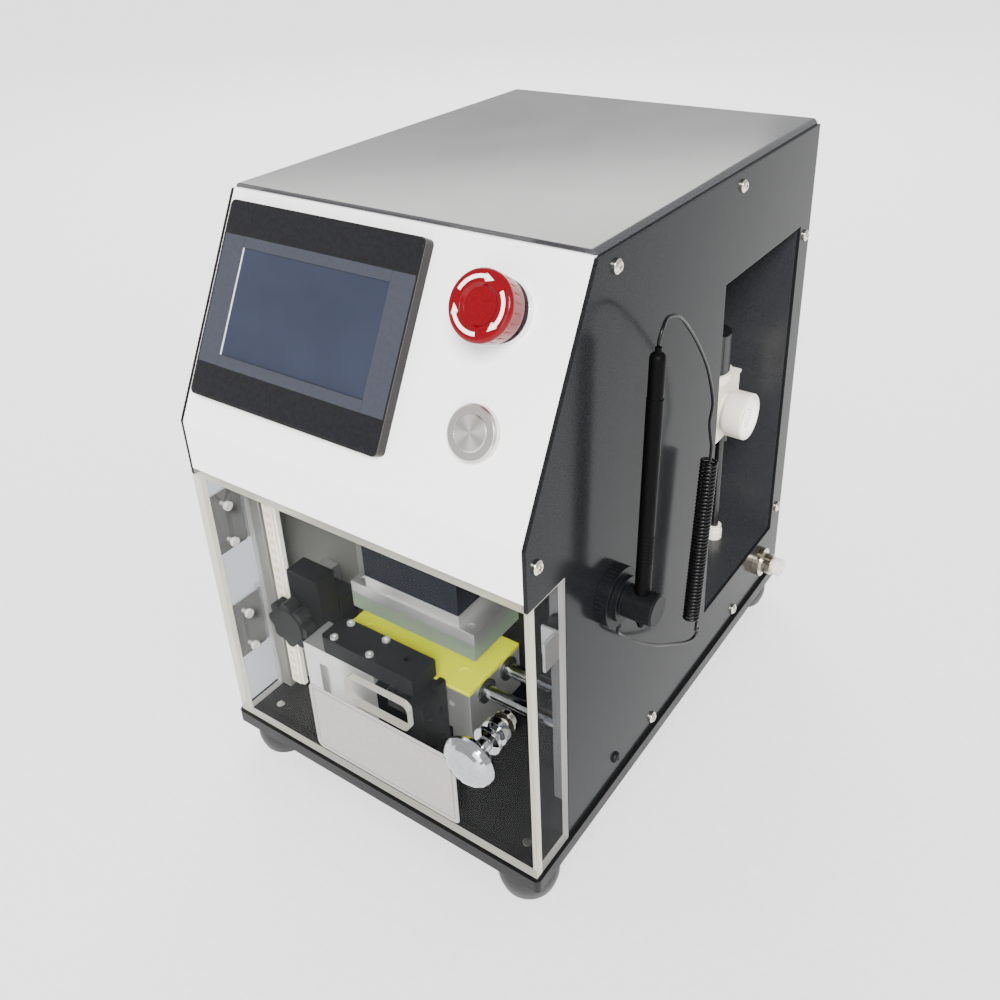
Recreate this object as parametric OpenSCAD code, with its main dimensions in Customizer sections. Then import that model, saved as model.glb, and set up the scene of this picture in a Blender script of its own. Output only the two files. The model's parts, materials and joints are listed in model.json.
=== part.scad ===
// Bench-top wire twisting machine.
// X runs to the right, Y to the back and Z up. Heights named "_z" are counted from the
// top of the base plate, depths named "_y" from the front face of the white panel's lip.

/* [Housing] */
// Width over the side panels
body_w = 220; // [216:1:250]
// Depth from the front lip to the rear panel
body_d = 317; // [312:1:360]
// Height of the slope
slope_h = 113; // [110:1:120]
// Thickness of the folded sheets
sheet_t = 2; // [1.5:0.1:2.5]
// Set-back of the slope's top edge
slope_setback = 61; // [57:1:66]
// Height of the upright lip under the slope
lip_h = 29; // [26:1:33]
// Depth of the front notch, which the door fills
notch_d = 31; // [30:0.5:34]
// Height of the front notch
notch_h = 174; // [172:1:176]
// Radius of the panel bends
bend_r = 3; // [2.6:0.2:4]
// Width of the sheets' inner flanges
flange_w = 14; // [12:1:16]

/* [Base] */
// Thickness of the base plate
base_t = 8; // [6:0.5:10]
// Overhang of the base plate round the body
base_overhang = 2; // [1:0.5:3]
// Diameter of the rubber feet
foot_d = 34; // [30:1:38]
// Height of the rubber feet
foot_h = 20; // [16:1:26]
// Distance of the feet from the middle plane
foot_x = 93; // [88:1:95]
// Distance of the feet from the front and back
foot_y = 17; // [16:1:22]

/* [Touch screen] */
// Width of the bezel
hmi_w = 128; // [126:1:132]
// Height of the bezel along the slope
hmi_h = 102; // [100:1:104]
// Height of the bezel above the panel
hmi_proud = 6; // [4:0.5:7]
// Distance of the bezel's middle from the body's middle
hmi_x = -37; // [-38:0.5:-36]
// Distance of the bezel's upper edge from the slope's top edge
hmi_drop = 9; // [8:0.5:11]
// Width of the display window
lcd_w = 98; // [94:1:102]
// Height of the display window
lcd_h = 55; // [53:1:58]
// Depth of the rear case
hmi_case_depth = 34; // [30:1:38]

/* [Push buttons] */
// Distance of both buttons from the body's middle
button_x = 72; // [70:0.5:74]
// Distance of the stop button from the slope's top edge
stop_drop = 33; // [31:0.5:35]
// Distance of the start button from the slope's top edge
start_drop = 87; // [84:0.5:90]
// Diameter of the red cap
stop_cap_d = 32; // [30:0.5:36]
// Height of the red cap's face above the panel
stop_face_h = 21; // [20:0.5:24]
// Travel of the stop button
stop_travel = 4; // [3:0.5:4.5]
// Diameter of the panel holes
button_hole_d = 22; // [21:0.5:24]
// Outer diameter of the start button's bezel
start_d = 26; // [25:0.5:29]
// Travel of the start button
start_travel = 2.5; // [2:0.5:3]

/* [Door] */
// Thickness of the clear plates
acrylic_t = 5; // [4:0.5:6]
// Gap round the door
door_gap = 0.5; // [0.3:0.1:1]
// Width of the wire slot
wire_slot_w = 44.5; // [36:0.5:46]
// Height of the wire slot
wire_slot_h = 18; // [14:0.5:20]
// Distance of the wire slot from the body's middle
wire_slot_x = 9; // [6:0.5:12]
// Diameter of the pull knob
pull_d = 28; // [24:1:32]
// Length of the pull knob
pull_len = 31; // [26:1:36]
// Height of the hinges
hinge_h = 40; // [34:1:46]
// Width of a hinge leaf from the pin
hinge_leaf_w = 24; // [20:1:25]
// Diameter of the hinge barrel
barrel_d = 5; // [4.6:0.2:5.6]
// Diameter of the hinge pin
pin_d = 2.5; // [2:0.1:3]

/* [Twisting pads] */
// Height of the lower pad's face
pad_z = 62; // [61:0.5:64]
// Length of the lower pad and its carriage
carriage_w = 96; // [92:1:98]
// Depth of the lower pad and its carriage
carriage_d = 48; // [46:0.5:50]
// Height of the carriage block
carriage_h = 29.5; // [28:0.5:32]
// Travel of the carriage to the right
carriage_travel = 30; // [20:1:34]
// Thickness of the lower pad
lower_pad_t = 2.5; // [2:0.5:4]
// Thickness of the upper pad
upper_pad_t = 10.5; // [8:0.5:12]
// Open gap between the pads
pad_opening = 17.5; // [14:0.5:19]
// Diameter of the guide rods
guide_rod_d = 8; // [7:0.5:9]
// Outer diameter of the carriage's bushes
bush_d = 12; // [11.5:0.5:13]

/* [Wire clamp] */
// Width of the whole clamp
clamp_w = 88; // [86:1:90]
// Depth of the clamp
clamp_d = 21; // [19:0.5:21.5]
// Thickness of the black cover
clamp_cover_t = 11.5; // [9:0.5:12]
// Height of the wire gap under the cover
wire_gap = 5; // [4.5:0.5:6]
// Lift of the clamping jaw
jaw_lift = 4.4; // [3:0.1:4.4]

/* [Stylus] */
// Diameter of the stylus barrel
stylus_d = 8; // [7:0.5:9]
// Length of the stylus above the holder's middle
stylus_up = 134; // [120:1:140]
// Backward lean of the stylus in degrees
stylus_lean = 3.5; // [0:0.5:6]
// Diameter of the holder's flange
holder_flange_d = 32; // [28:1:36]
// Diameter of the holder's arm
holder_arm_d = 17; // [15:0.5:20]
// Reach of the holder's arm from the side panel
holder_reach = 27; // [26:1:32]

/* [Curly cord] */
// Diameter of the cord
cord_d = 1.7; // [1.5:0.05:1.75]
// Outer diameter of the curls
curl_d = 9.8; // [9:0.2:11]
// Number of curls
curls = 45; // [38:1:46]

/* [Air regulator] */
// Width of the niche in the right panel
niche_w = 108; // [104:1:112]
// Height of the niche
niche_h = 221; // [210:1:230]
// Depth of the niche
niche_depth = 60; // [56:1:66]
// Diameter of the gauge
gauge_d = 30; // [26:1:34]
// Diameter of the regulator's knob
regulator_knob_d = 26; // [22:1:29]
// Outer diameter of the air hoses
hose_d = 6; // [5:0.5:7]

/* [Air inlet] */
// Diameter of the tube that the inlet takes
inlet_tube_d = 6; // [5:0.5:6.5]
// Projection of the inlet from the side panel
inlet_reach = 18; // [16:0.5:21]

/* [Hidden] */
$fn = 48;

// Shared clearances
overrun = 1;
seat_gap = 0.3;
run_gap = 0.05;
fine_gap = 0.02;

// Levels and edges of the housing
deck_z = foot_h + base_t;
lip_gap = 4;
lip_z = notch_h + lip_gap;
bend_z = lip_z + lip_h;
body_h = bend_z + slope_h;
half_w = body_w / 2;
inner_w = half_w - sheet_t;
slope_angle = atan2(body_h - bend_z, slope_setback);
side_drop = 3;
cover_gap = 0.4;
lip_return = 9;

// Places of the side screws as shares of the depth and the height
screw_head_d = 7;
screw_head_h = 2.2;
screw_shank_d = 4;
screw_edge = 8;
screw_top_share = 0.235;
screw_top2_share = 0.65;
screw_rear_high_share = 0.785;
screw_rear_low_share = 0.163;
screw_low_share = 0.392;
screw_low2_share = 0.76;
cross_w = 0.9;

// Overall reach, from which the frame's origin at the middle of the footprint follows
hinge_offset = barrel_d / 2 + seat_gap;
reach_left = half_w + hinge_offset + barrel_d / 2;
reach_right = half_w + holder_reach;
reach_front = pull_len;
rear_reach = 4;
reach_back = body_d + rear_reach;
centre_x = (reach_right - reach_left) / 2;
centre_y = (reach_back - reach_front) / 2;

module in_frame() { translate([-centre_x, -centre_y, 0]) children(); }
module on_deck() { translate([-centre_x, -centre_y, deck_z]) children(); }
module both_sides() {
    children();
    mirror([1, 0, 0]) children();
}

module block(x0, x1, y0, y1, z0, z1) {
    translate([x0, y0, z0]) cube([x1 - x0, y1 - y0, z1 - z0]);
}

// Straight round bars along each axis
module bar_x(d, x0, x1, y, z) { translate([x0, y, z]) rotate([0, 90, 0]) cylinder(d = d, h = x1 - x0); }
module bar_y(d, x, y0, y1, z) { translate([x, y0, z]) rotate([-90, 0, 0]) cylinder(d = d, h = y1 - y0); }
module bar_z(d, x, y, z0, z1) { translate([x, y, z0]) cylinder(d = d, h = z1 - z0); }

// A plate drawn in depth and height, standing square to X
module side_plate(x0, t) { translate([x0, 0, 0]) rotate([90, 0, 90]) linear_extrude(t) children(); }

// A slab with round upright edges, its first corner at the origin
module slab(w, h, t, r) {
    translate([r, 0, 0]) cube([w - 2 * r, h, t]);
    translate([0, r, 0]) cube([w, h - 2 * r, t]);
    for (x = [r, w - r], y = [r, h - r]) translate([x, y, 0]) cylinder(r = r, h = t);
}

// Places children on the sloping panel: x to the right, y up the slope, z outwards
module on_slope(x, drop) {
    translate([x, slope_setback, body_h]) rotate([slope_angle, 0, 0])
        translate([0, -drop, 0]) children();
}

function arc(cy, cz, r, a0, a1, n = 6) =
    [for (i = [0:n]) let(a = a0 + (a1 - a0) * i / n) [cy + r * cos(a), cz + r * sin(a)]];

// Front outline: the bend's height where it is set in by d, and the slope's depth at a height
function bend_at(d) = bend_z - d * (1 - sin(slope_angle)) / cos(slope_angle);
function slope_y(z) = slope_setback * (z - bend_z) / (body_h - bend_z);

// Base plate, feet and their screws
foot_waist_share = 0.86;
foot_screw_d = 5;
foot_pocket_d = 12;
foot_pocket_h = 8;
foot_screw_head_d = 9;
foot_screw_head_h = 3.5;
base_corner_r = 3;
feet_at = [[-foot_x, foot_y], [foot_x, foot_y], [-foot_x, body_d - foot_y], [foot_x, body_d - foot_y]];

module base_plate() {
    color("#1b1b1d") in_frame() difference() {
        translate([-half_w - base_overhang, -base_overhang, foot_h])
            slab(body_w + 2 * base_overhang, body_d + 2 * base_overhang, base_t, base_corner_r);
        for (p = feet_at) bar_z(foot_screw_d, p[0], p[1], foot_h - overrun, deck_z + overrun);
    }
}

// Half outline of a foot: a bulging side between a flat foot and a flat top
foot_bulge = foot_d / 2 * (1 - foot_waist_share);
foot_profile = concat([[0, 0]],
    [for (i = [0:8]) [foot_d / 2 - foot_bulge + foot_bulge * sin(180 * i / 8), foot_h * i / 8]],
    [[0, foot_h]]);

module feet() {
    color("#161616") in_frame() for (p = feet_at) translate([p[0], p[1], 0]) difference() {
        rotate_extrude() polygon(foot_profile);
        translate([0, 0, -overrun]) cylinder(d = foot_pocket_d, h = foot_pocket_h + overrun);
        cylinder(d = foot_screw_d, h = foot_h + overrun);
    }
}

// Side panels: one outline for both, with the notch that the door fills
side_outline = [[notch_d, 0], [body_d, 0], [body_d, body_h - side_drop],
    [slope_y(body_h - side_drop), body_h - side_drop], [0, bend_z], [0, notch_h],
    [notch_d, notch_h]];
niche_from_rear = 16;
inlet_from_rear = 37;
niche_back = body_d - niche_from_rear;
niche_front = niche_back - niche_w;
niche_floor = 38;
niche_roof = niche_floor + niche_h;
inlet_y = body_d - inlet_from_rear;
inlet_z = 24;
inlet_hole_d = 12;
holder_y = 72;
holder_z = 137;
holder_stud_d = 6;

// Screw places on a side panel: depth, height
screws_at = [[body_d * screw_top_share, body_h - screw_edge - side_drop],
    [body_d * screw_top2_share, body_h - screw_edge - side_drop],
    [body_d - screw_edge, body_h * screw_rear_high_share],
    [body_d - screw_edge, body_h * screw_rear_low_share],
    [screw_edge, (bend_z + lip_z) / 2 + sheet_t], [body_d * screw_low_share, screw_edge],
    [body_d * screw_low2_share, screw_edge]];

module side_panel() {
    difference() {
        side_plate(inner_w, sheet_t) polygon(side_outline);
        for (s = screws_at) bar_x(screw_shank_d, inner_w - overrun, half_w + overrun, s[0], s[1]);
    }
}

// Bores through the flanges behind the side screws
module screw_bores(places) {
    both_sides() for (p = places) bar_x(screw_shank_d, inner_w - screw_edge, half_w + overrun, p[0], p[1]);
}

module side_panel_left() {
    color("#5b5c5e") on_deck() mirror([1, 0, 0]) side_panel();
}

module side_panel_right() {
    color("#5b5c5e") on_deck() difference() {
        side_panel();
        block(inner_w - overrun, half_w + overrun, niche_front, niche_back, niche_floor, niche_roof);
        bar_x(inlet_hole_d, inner_w - overrun, half_w + overrun, inlet_y, inlet_z);
        bar_x(holder_stud_d, inner_w - overrun, half_w + overrun, holder_y, holder_z);
    }
}

// Top cover: a shallow tray with round shoulders, its sides down inside the side panels
cover_lip = 16;
cover_x = inner_w - fine_gap;
cover_low_z = body_h - sheet_t - cover_gap;
cover_outline = concat([[-cover_x, body_h - cover_lip]],
    arc(bend_r - cover_x, body_h - bend_r, bend_r, 180, 90),
    arc(cover_x - bend_r, body_h - bend_r, bend_r, 90, 0),
    [[cover_x, body_h - cover_lip], [cover_x - sheet_t, body_h - cover_lip]],
    arc(cover_x - bend_r, body_h - bend_r, bend_r - sheet_t, 0, 90),
    arc(bend_r - cover_x, body_h - bend_r, bend_r - sheet_t, 90, 180),
    [[sheet_t - cover_x, body_h - cover_lip]]);

module top_cover() {
    color("#66676a") on_deck() difference() {
        translate([0, body_d, 0]) rotate([90, 0, 0])
            linear_extrude(body_d - slope_setback) polygon(cover_outline);
        block(-half_w, half_w, body_d - sheet_t - cover_gap, body_d + overrun,
            body_h - cover_lip - overrun, cover_low_z);
        screw_bores([screws_at[0], screws_at[1]]);
    }
}

// White front panel: slope, bend, upright lip with a return, and two side flanges
front_x = inner_w - fine_gap;
flange_top = body_h - cover_lip - cover_gap;
function inset_y(d, z) = slope_y(z) + d / sin(slope_angle);
front_shell = concat([[inset_y(0, cover_low_z), cover_low_z]],
    arc(bend_r, bend_at(bend_r), bend_r, 90 + slope_angle, 180),
    [[0, lip_z], [lip_return, lip_z], [lip_return, lip_z + sheet_t], [sheet_t, lip_z + sheet_t]],
    arc(bend_r, bend_at(bend_r), bend_r - sheet_t, 180, 90 + slope_angle),
    [[inset_y(sheet_t, cover_low_z), cover_low_z]]);
front_flange = [[inset_y(sheet_t, flange_top), flange_top], [sheet_t, bend_at(sheet_t)],
    [sheet_t, lip_z + sheet_t], [flange_w, lip_z + sheet_t], [flange_w, bend_at(flange_w)],
    [inset_y(flange_w, flange_top), flange_top]];

module front_panel() {
    color("#e6e4e2") on_deck() difference() {
        union() {
            side_plate(-front_x, 2 * front_x) polygon(front_shell);
            both_sides() side_plate(front_x - sheet_t, sheet_t) polygon(front_flange);
        }
        for (drop = [stop_drop, start_drop]) on_slope(button_x, drop)
            translate([0, 0, -sheet_t - overrun]) cylinder(d = button_hole_d, h = sheet_t + 2 * overrun);
        on_slope(hmi_x, hmi_drop + hmi_h / 2)
            translate([-hmi_case_w / 2 - fine_gap, -hmi_case_h / 2 - fine_gap, -sheet_t - overrun])
            cube([hmi_case_w + 2 * fine_gap, hmi_case_h + 2 * fine_gap, sheet_t + 2 * overrun]);
        screw_bores([screws_at[4]]);
    }
}

// Rear panel with flanges, louvres and the cut-outs of its fittings
louvre_w = 60;
louvre_h = 4;
louvre_pitch = 10;
louvre_z = 215;
louvres = 6;
louvre_x = -45;
mains_w = 27;
mains_h = 47;
mains_x = -62;
mains_z = 52;
pedal_d = 16;
pedal_x = -10;
pedal_z = 42;

module rear_panel() {
    color("#5b5c5e") on_deck() difference() {
        union() {
            block(-front_x, front_x, body_d - sheet_t, body_d, 0, cover_low_z);
            both_sides() block(front_x - sheet_t, front_x, body_d - flange_w, body_d - sheet_t, 0,
                flange_top);
        }
        for (i = [0:louvres - 1]) translate([louvre_x, body_d + overrun, louvre_z + i * louvre_pitch])
            rotate([90, 0, 0]) slab(louvre_w, louvre_h, sheet_t + 2 * overrun, louvre_h / 2 - fine_gap);
        block(mains_x - mains_w / 2, mains_x + mains_w / 2, body_d - sheet_t - overrun, body_d + overrun,
            mains_z - mains_h / 2, mains_z + mains_h / 2);
        bar_y(pedal_d, pedal_x, body_d - sheet_t - overrun, body_d + overrun, pedal_z);
        screw_bores([screws_at[2], screws_at[3]]);
    }
}

// Grey wall behind the working chamber, with floor rails for the lower side screws
bulkhead_y = 112;
bulkhead_h = 196;
rail_w = 12;
rail_h = 14;

module bulkhead() {
    color("#77787a") on_deck() {
        block(-front_x, front_x, bulkhead_y, bulkhead_y + sheet_t, 0, bulkhead_h);
        difference() {
            both_sides() block(inner_w - rail_w, inner_w, bulkhead_y + sheet_t,
                body_d - flange_w - seat_gap, 0, rail_h);
            screw_bores([screws_at[5], screws_at[6]]);
        }
    }
}

// Aluminium posts that stand behind the door's side plates
post_gap = 0.4;
post_left_w = 9.5;
post_right_w = 10;
post_t = 8;
catch_block_h = 22;

module front_posts() {
    color("#b9bbbd") on_deck() {
        block(-inner_w, -inner_w + post_left_w, notch_d + post_gap, notch_d + post_gap + post_t,
            0, notch_h + flange_w);
        block(inner_w - post_right_w, inner_w, notch_d + magnet_t, notch_d + magnet_t + post_t,
            0, notch_h + flange_w);
    }
}

strip_w = 10;
strip_t = 3;
strip_z0 = 4;
strip_z1 = 172;
strip_cover_t = 1.6;
strip_inset = 1.2;

module light_strip() {
    color("#d9d2c0") on_deck() translate([post_left_w - inner_w, notch_d + post_gap + strip_t, 0]) {
        block(0, strip_w, 0, strip_t, strip_z0, strip_z1);
        block(strip_inset, strip_w - strip_inset, -strip_cover_t, 0, strip_z0 + strip_inset,
            strip_z1 - strip_inset);
    }
}

// Open box behind the right panel's opening
niche_t = 1.5;
niche_inner = inner_w - niche_depth;
fitting_hole_d = 10;
reg_x0 = 60;
reg_x1 = 88;
reg_behind = 21;
reg_depth = 38;
reg_y1 = niche_back - reg_behind;
reg_y0 = reg_y1 - reg_depth;
hose_inset = 8;
hoses_at = [[reg_x1 - hose_inset, reg_y1 - hose_inset], [reg_x0 + hose_inset, reg_y1 - hose_inset]];

module niche_box() {
    color("#3a3b3d") on_deck() difference() {
        block(niche_inner - niche_t, inner_w, niche_front - niche_t, niche_back + niche_t,
            niche_floor - niche_t, niche_roof + niche_t);
        block(niche_inner, inner_w + overrun, niche_front, niche_back, niche_floor, niche_roof);
        for (p = hoses_at) bar_z(fitting_hole_d, p[0], p[1], niche_floor - 2 * niche_t,
            niche_floor + overrun);
    }
}

// Screws of the side panels and feet, and the nuts behind the push buttons
cross_depth = 1.2;
screw_dome_share = 0.62;
nut_af = 28;
nut_t = 4;

module pan_screw() {
    difference() {
        union() {
            cylinder(d = screw_head_d, h = screw_head_h / 2);
            translate([0, 0, screw_head_h / 2])
                cylinder(d1 = screw_head_d, d2 = screw_head_d * screw_dome_share, h = screw_head_h / 2);
        }
        for (a = [0, 90]) rotate([0, 0, a])
            translate([-screw_head_d / 4, -cross_w / 2, screw_head_h - cross_depth])
            cube([screw_head_d / 2, cross_w, cross_depth + overrun]);
    }
    translate([0, 0, -2 * sheet_t]) cylinder(d = screw_shank_d - 2 * fine_gap, h = 2 * sheet_t);
}

module housing_fasteners() {
    color("#c9cacb") {
        on_deck() both_sides() for (s = screws_at)
            translate([half_w, s[0], s[1]]) rotate([0, 90, 0]) pan_screw();
        in_frame() for (p = feet_at) {
            bar_z(foot_screw_head_d, p[0], p[1], foot_pocket_h - foot_screw_head_h, foot_pocket_h);
            bar_z(foot_screw_d - 2 * fine_gap, p[0], p[1], foot_pocket_h, deck_z);
        }
        on_deck() for (drop = [stop_drop, start_drop]) on_slope(button_x, drop)
            translate([0, 0, -sheet_t - nut_t]) difference() {
                cylinder(d = nut_af / cos(30), h = nut_t, $fn = 6);
                translate([0, 0, -overrun]) cylinder(d = button_hole_d, h = nut_t + 2 * overrun);
            }
    }
}

// Touch screen: bezel frame, screen glass and rear case
hmi_case_w = 118;
hmi_case_h = 92;
hmi_corner_r = 3;
hmi_pocket = 1.2;
hmi_glass_t = 1;
hmi_margin = 3;
lcd_recess = 0.4;

module hmi_bezel() {
    color("#8f97a0") on_deck() on_slope(hmi_x, hmi_drop + hmi_h / 2) difference() {
        translate([-hmi_w / 2, -hmi_h / 2, 0]) slab(hmi_w, hmi_h, hmi_proud, hmi_corner_r);
        translate([-hmi_w / 2 + hmi_margin, -hmi_h / 2 + hmi_margin, hmi_proud - hmi_pocket])
            cube([hmi_w - 2 * hmi_margin, hmi_h - 2 * hmi_margin, hmi_pocket + overrun]);
    }
}

module hmi_screen() {
    color("#2a333d") on_deck() on_slope(hmi_x, hmi_drop + hmi_h / 2) difference() {
        translate([-hmi_w / 2 + hmi_margin + fine_gap, -hmi_h / 2 + hmi_margin + fine_gap,
            hmi_proud - hmi_pocket])
            cube([hmi_w - 2 * hmi_margin - 2 * fine_gap, hmi_h - 2 * hmi_margin - 2 * fine_gap, hmi_glass_t]);
        translate([-lcd_w / 2, -lcd_h / 2, hmi_proud - hmi_pocket + hmi_glass_t - lcd_recess])
            cube([lcd_w, lcd_h, lcd_recess + overrun]);
    }
}

hmi_vent_w = 3;
hmi_vent_pitch = 7;
hmi_vents = 8;
hmi_vent_share = 0.5;

module hmi_case() {
    color("#3a3c3f") on_deck() on_slope(hmi_x, hmi_drop + hmi_h / 2) difference() {
        translate([-hmi_case_w / 2, -hmi_case_h / 2, -hmi_case_depth])
            cube([hmi_case_w, hmi_case_h, hmi_case_depth]);
        for (i = [0:hmi_vents - 1])
            translate([-hmi_case_w / 4 + i * hmi_vent_pitch, -hmi_case_h * hmi_vent_share / 2,
                -hmi_case_depth - overrun])
            cube([hmi_vent_w, hmi_case_h * hmi_vent_share, overrun + hmi_vent_w]);
    }
}

// Emergency stop: threaded collar, plunger that slides in it and a cap that turns on the plunger
collar_d = 29;
collar_h = 4;
barrel_len = 24;
plunger_d = 12;
plunger_low = 20;
cap_skirt_h = 12;
cap_wall = 3;
cap_dish_d = 19;
cap_dish = 1.4;
cap_edge_r = 2.2;
flute_d = 2.4;
flutes = 24;
contact_w = 24;
contact_h = 20;

module stop_collar() {
    color("#c9cacb") on_deck() on_slope(button_x, stop_drop) difference() {
        union() {
            cylinder(d = collar_d, h = collar_h);
            translate([0, 0, -barrel_len]) cylinder(d = button_hole_d - 2 * fine_gap, h = barrel_len);
            translate([-contact_w / 2, -contact_w / 2, -barrel_len - contact_h])
                cube([contact_w, contact_w, contact_h]);
        }
        translate([0, 0, -barrel_len])
            cylinder(d = plunger_d + 2 * run_gap, h = barrel_len + collar_h + overrun);
    }
}

module stop_plunger() {
    color("#7c1216") on_deck() on_slope(button_x, stop_drop) difference() {
        translate([0, 0, stop_travel + overrun - plunger_low])
            cylinder(d = plunger_d, h = plunger_low + stop_face_h - cap_wall - stop_travel - overrun);
        translate([0, 0, stop_face_h - cap_wall - plunger_pin_h])
            cylinder(d = plunger_pin_d, h = plunger_pin_h + overrun);
    }
}

plunger_pin_d = 5;
plunger_pin_h = 8;
cap_low = stop_face_h - cap_skirt_h;

// Half outline of the mushroom cap with its shallow dish and hollow skirt
cap_profile = concat(
    [[0, stop_face_h - cap_dish], [cap_dish_d / 2 - cap_dish, stop_face_h - cap_dish],
    [cap_dish_d / 2, stop_face_h]],
    [for (p = arc(stop_cap_d / 2 - cap_edge_r, stop_face_h - cap_edge_r, cap_edge_r, 90, 0)) p],
    [[stop_cap_d / 2 - cap_wall / 4, cap_low], [stop_cap_d / 2 - cap_wall, cap_low],
     [stop_cap_d / 2 - cap_wall, stop_face_h - cap_wall],
     [plunger_pin_d / 2 - run_gap, stop_face_h - cap_wall],
     [plunger_pin_d / 2 - run_gap, stop_face_h - cap_wall - plunger_pin_h + seat_gap],
     [0, stop_face_h - cap_wall - plunger_pin_h + seat_gap]]);

module stop_cap() {
    color("#c81a22") on_deck() on_slope(button_x, stop_drop) difference() {
        rotate_extrude() polygon(cap_profile);
        for (i = [0:flutes - 1]) rotate([0, 0, 360 * i / flutes])
            translate([stop_cap_d / 2 + flute_d / 4, 0, cap_low - overrun])
            cylinder(d = flute_d, h = cap_skirt_h - cap_edge_r, $fn = 16);
    }
}

// Start button: bezel ring with a barrel and a metal button that slides in it
start_bezel_h = 4;
start_button_d = 17;
start_button_face = 4.6;
start_barrel_len = 30;
start_spring_room = 11.5;
start_button_low = start_barrel_len - sheet_t - start_travel - start_spring_room;
start_chamfer = 1;

module start_bezel() {
    color("#c4c6c9") on_deck() on_slope(button_x, start_drop) difference() {
        union() {
            cylinder(d = start_d, h = start_bezel_h - start_chamfer);
            translate([0, 0, start_bezel_h - start_chamfer])
                cylinder(d1 = start_d, d2 = start_d - 2 * start_chamfer, h = start_chamfer);
            translate([0, 0, -start_barrel_len])
                cylinder(d = button_hole_d - 2 * fine_gap, h = start_barrel_len);
        }
        translate([0, 0, -start_barrel_len + sheet_t])
            cylinder(d = start_button_d + 2 * run_gap, h = start_barrel_len + start_bezel_h);
    }
}

module start_button() {
    color("#b4b7ba") on_deck() on_slope(button_x, start_drop) {
        translate([0, 0, -start_button_low])
            cylinder(d = start_button_d, h = start_button_low + start_button_face - start_chamfer / 2);
        translate([0, 0, start_button_face - start_chamfer / 2])
            cylinder(d1 = start_button_d, d2 = start_button_d - start_chamfer, h = start_chamfer / 2);
    }
}

// Door: three clear plates, joined into an open box
door_low = door_gap;
door_high = notch_h - door_gap;
door_back = notch_d - door_gap;
wire_z = pad_z + wire_gap;
slot_rise = 0.7;
slot_z = wire_z + slot_rise;
slot_r = 4;
pull_x = 91;
pull_z = 96;
pull_hole_d = 5;

module door_front() {
    color("#dfe6e6", 0.35) on_deck() difference() {
        block(-half_w, half_w, 0, acrylic_t, door_low, door_high);
        translate([wire_slot_x - wire_slot_w / 2, acrylic_t + overrun, slot_z - wire_slot_h / 2])
            rotate([90, 0, 0]) slab(wire_slot_w, wire_slot_h, acrylic_t + 2 * overrun, slot_r);
        bar_y(pull_hole_d, pull_x, -overrun, acrylic_t + overrun, pull_z);
    }
}

hinge_screw_d = 3;
hinge_pitch_share = 0.62;
hinge_screw_share = 0.66;
hinge_screw_y = hinge_leaf_w * hinge_screw_share;
hinge_zs = [56.5, 134];

// Screw places of both hinges on one leaf, as heights
hinge_screw_zs = [for (z = hinge_zs, s = [-1, 1]) z + s * hinge_h * hinge_pitch_share / 2];

module door_sides() {
    color("#dfe6e6", 0.35) on_deck() difference() {
        both_sides() block(half_w - acrylic_t, half_w, acrylic_t, door_back, door_low, door_high);
        for (z = hinge_screw_zs)
            bar_x(hinge_screw_d, -half_w - overrun, overrun - half_w + acrylic_t, notch_d - hinge_screw_y, z);
    }
}

// Pull knob: a revolved mushroom with a ringed neck
pull_neck_d = 8;
pull_foot_d = 14;
pull_ring_d = 15;
pull_head_h = 12;
pull_foot_h = 4;
pull_ring_h = 3;
pull_profile = concat(
    [[0, 0], [pull_foot_d / 2, 0], [pull_foot_d / 2, pull_foot_h],
    [pull_neck_d / 2, pull_foot_h + start_chamfer],
     [pull_neck_d / 2, pull_foot_h + pull_ring_h],
     [pull_ring_d / 2, pull_foot_h + pull_ring_h + start_chamfer],
     [pull_ring_d / 2, pull_foot_h + 2 * pull_ring_h],
     [pull_neck_d / 2, pull_foot_h + 2 * pull_ring_h + start_chamfer],
     [pull_neck_d / 2, pull_len - pull_head_h], [pull_d / 2 * 0.8, pull_len - pull_head_h + start_chamfer]],
    [for (i = [0:8]) [pull_d / 2 * cos(90 * i / 8),
    pull_len - pull_head_h * 0.62 + pull_head_h * 0.62 * sin(90 * i / 8)]]);

module door_pull() {
    color("#d4d6d8") on_deck() translate([pull_x, 0, pull_z]) rotate([90, 0, 0]) difference() {
        rotate_extrude() polygon(pull_profile);
        translate([0, 0, -overrun]) cylinder(d = pull_hole_d, h = pull_foot_h + pull_ring_h + overrun);
    }
}

pull_screw_head_d = 9;
pull_screw_head_h = 3;
pull_washer_d = 12;
pull_washer_t = 1;

module door_pull_screw() {
    color("#c9cacb") on_deck() {
        bar_y(pull_hole_d - 2 * fine_gap, pull_x, -pull_foot_h, acrylic_t + pull_washer_t, pull_z);
        bar_y(pull_washer_d, pull_x, acrylic_t, acrylic_t + pull_washer_t, pull_z);
        bar_y(pull_screw_head_d, pull_x, acrylic_t + pull_washer_t,
            acrylic_t + pull_washer_t + pull_screw_head_h, pull_z);
    }
}

// Butt hinges on the outer face, the door's knuckle between the body's two
leaf_t = 1.4;
knuckle_gap = 0.3;
hinge_x = -half_w - hinge_offset;
knuckle_h = (hinge_h - 2 * knuckle_gap) / 3;
hinge_nut_h = 2;
hinge_nut_d = 5.5;

// A knuckle with the arm that ties it to its leaf on the side away = -1 or 1
module knuckle(z0, z1, away) {
    difference() {
        union() {
            bar_z(barrel_d, hinge_x, notch_d, z0, z1);
            block(-half_w - leaf_t, -half_w - seat_gap,
                min(notch_d, notch_d + away * (hinge_offset + leaf_t)),
                max(notch_d, notch_d + away * (hinge_offset + leaf_t)), z0, z1);
        }
        bar_z(pin_d + 2 * run_gap, hinge_x, notch_d, z0 - overrun, z1 + overrun);
    }
}

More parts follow.
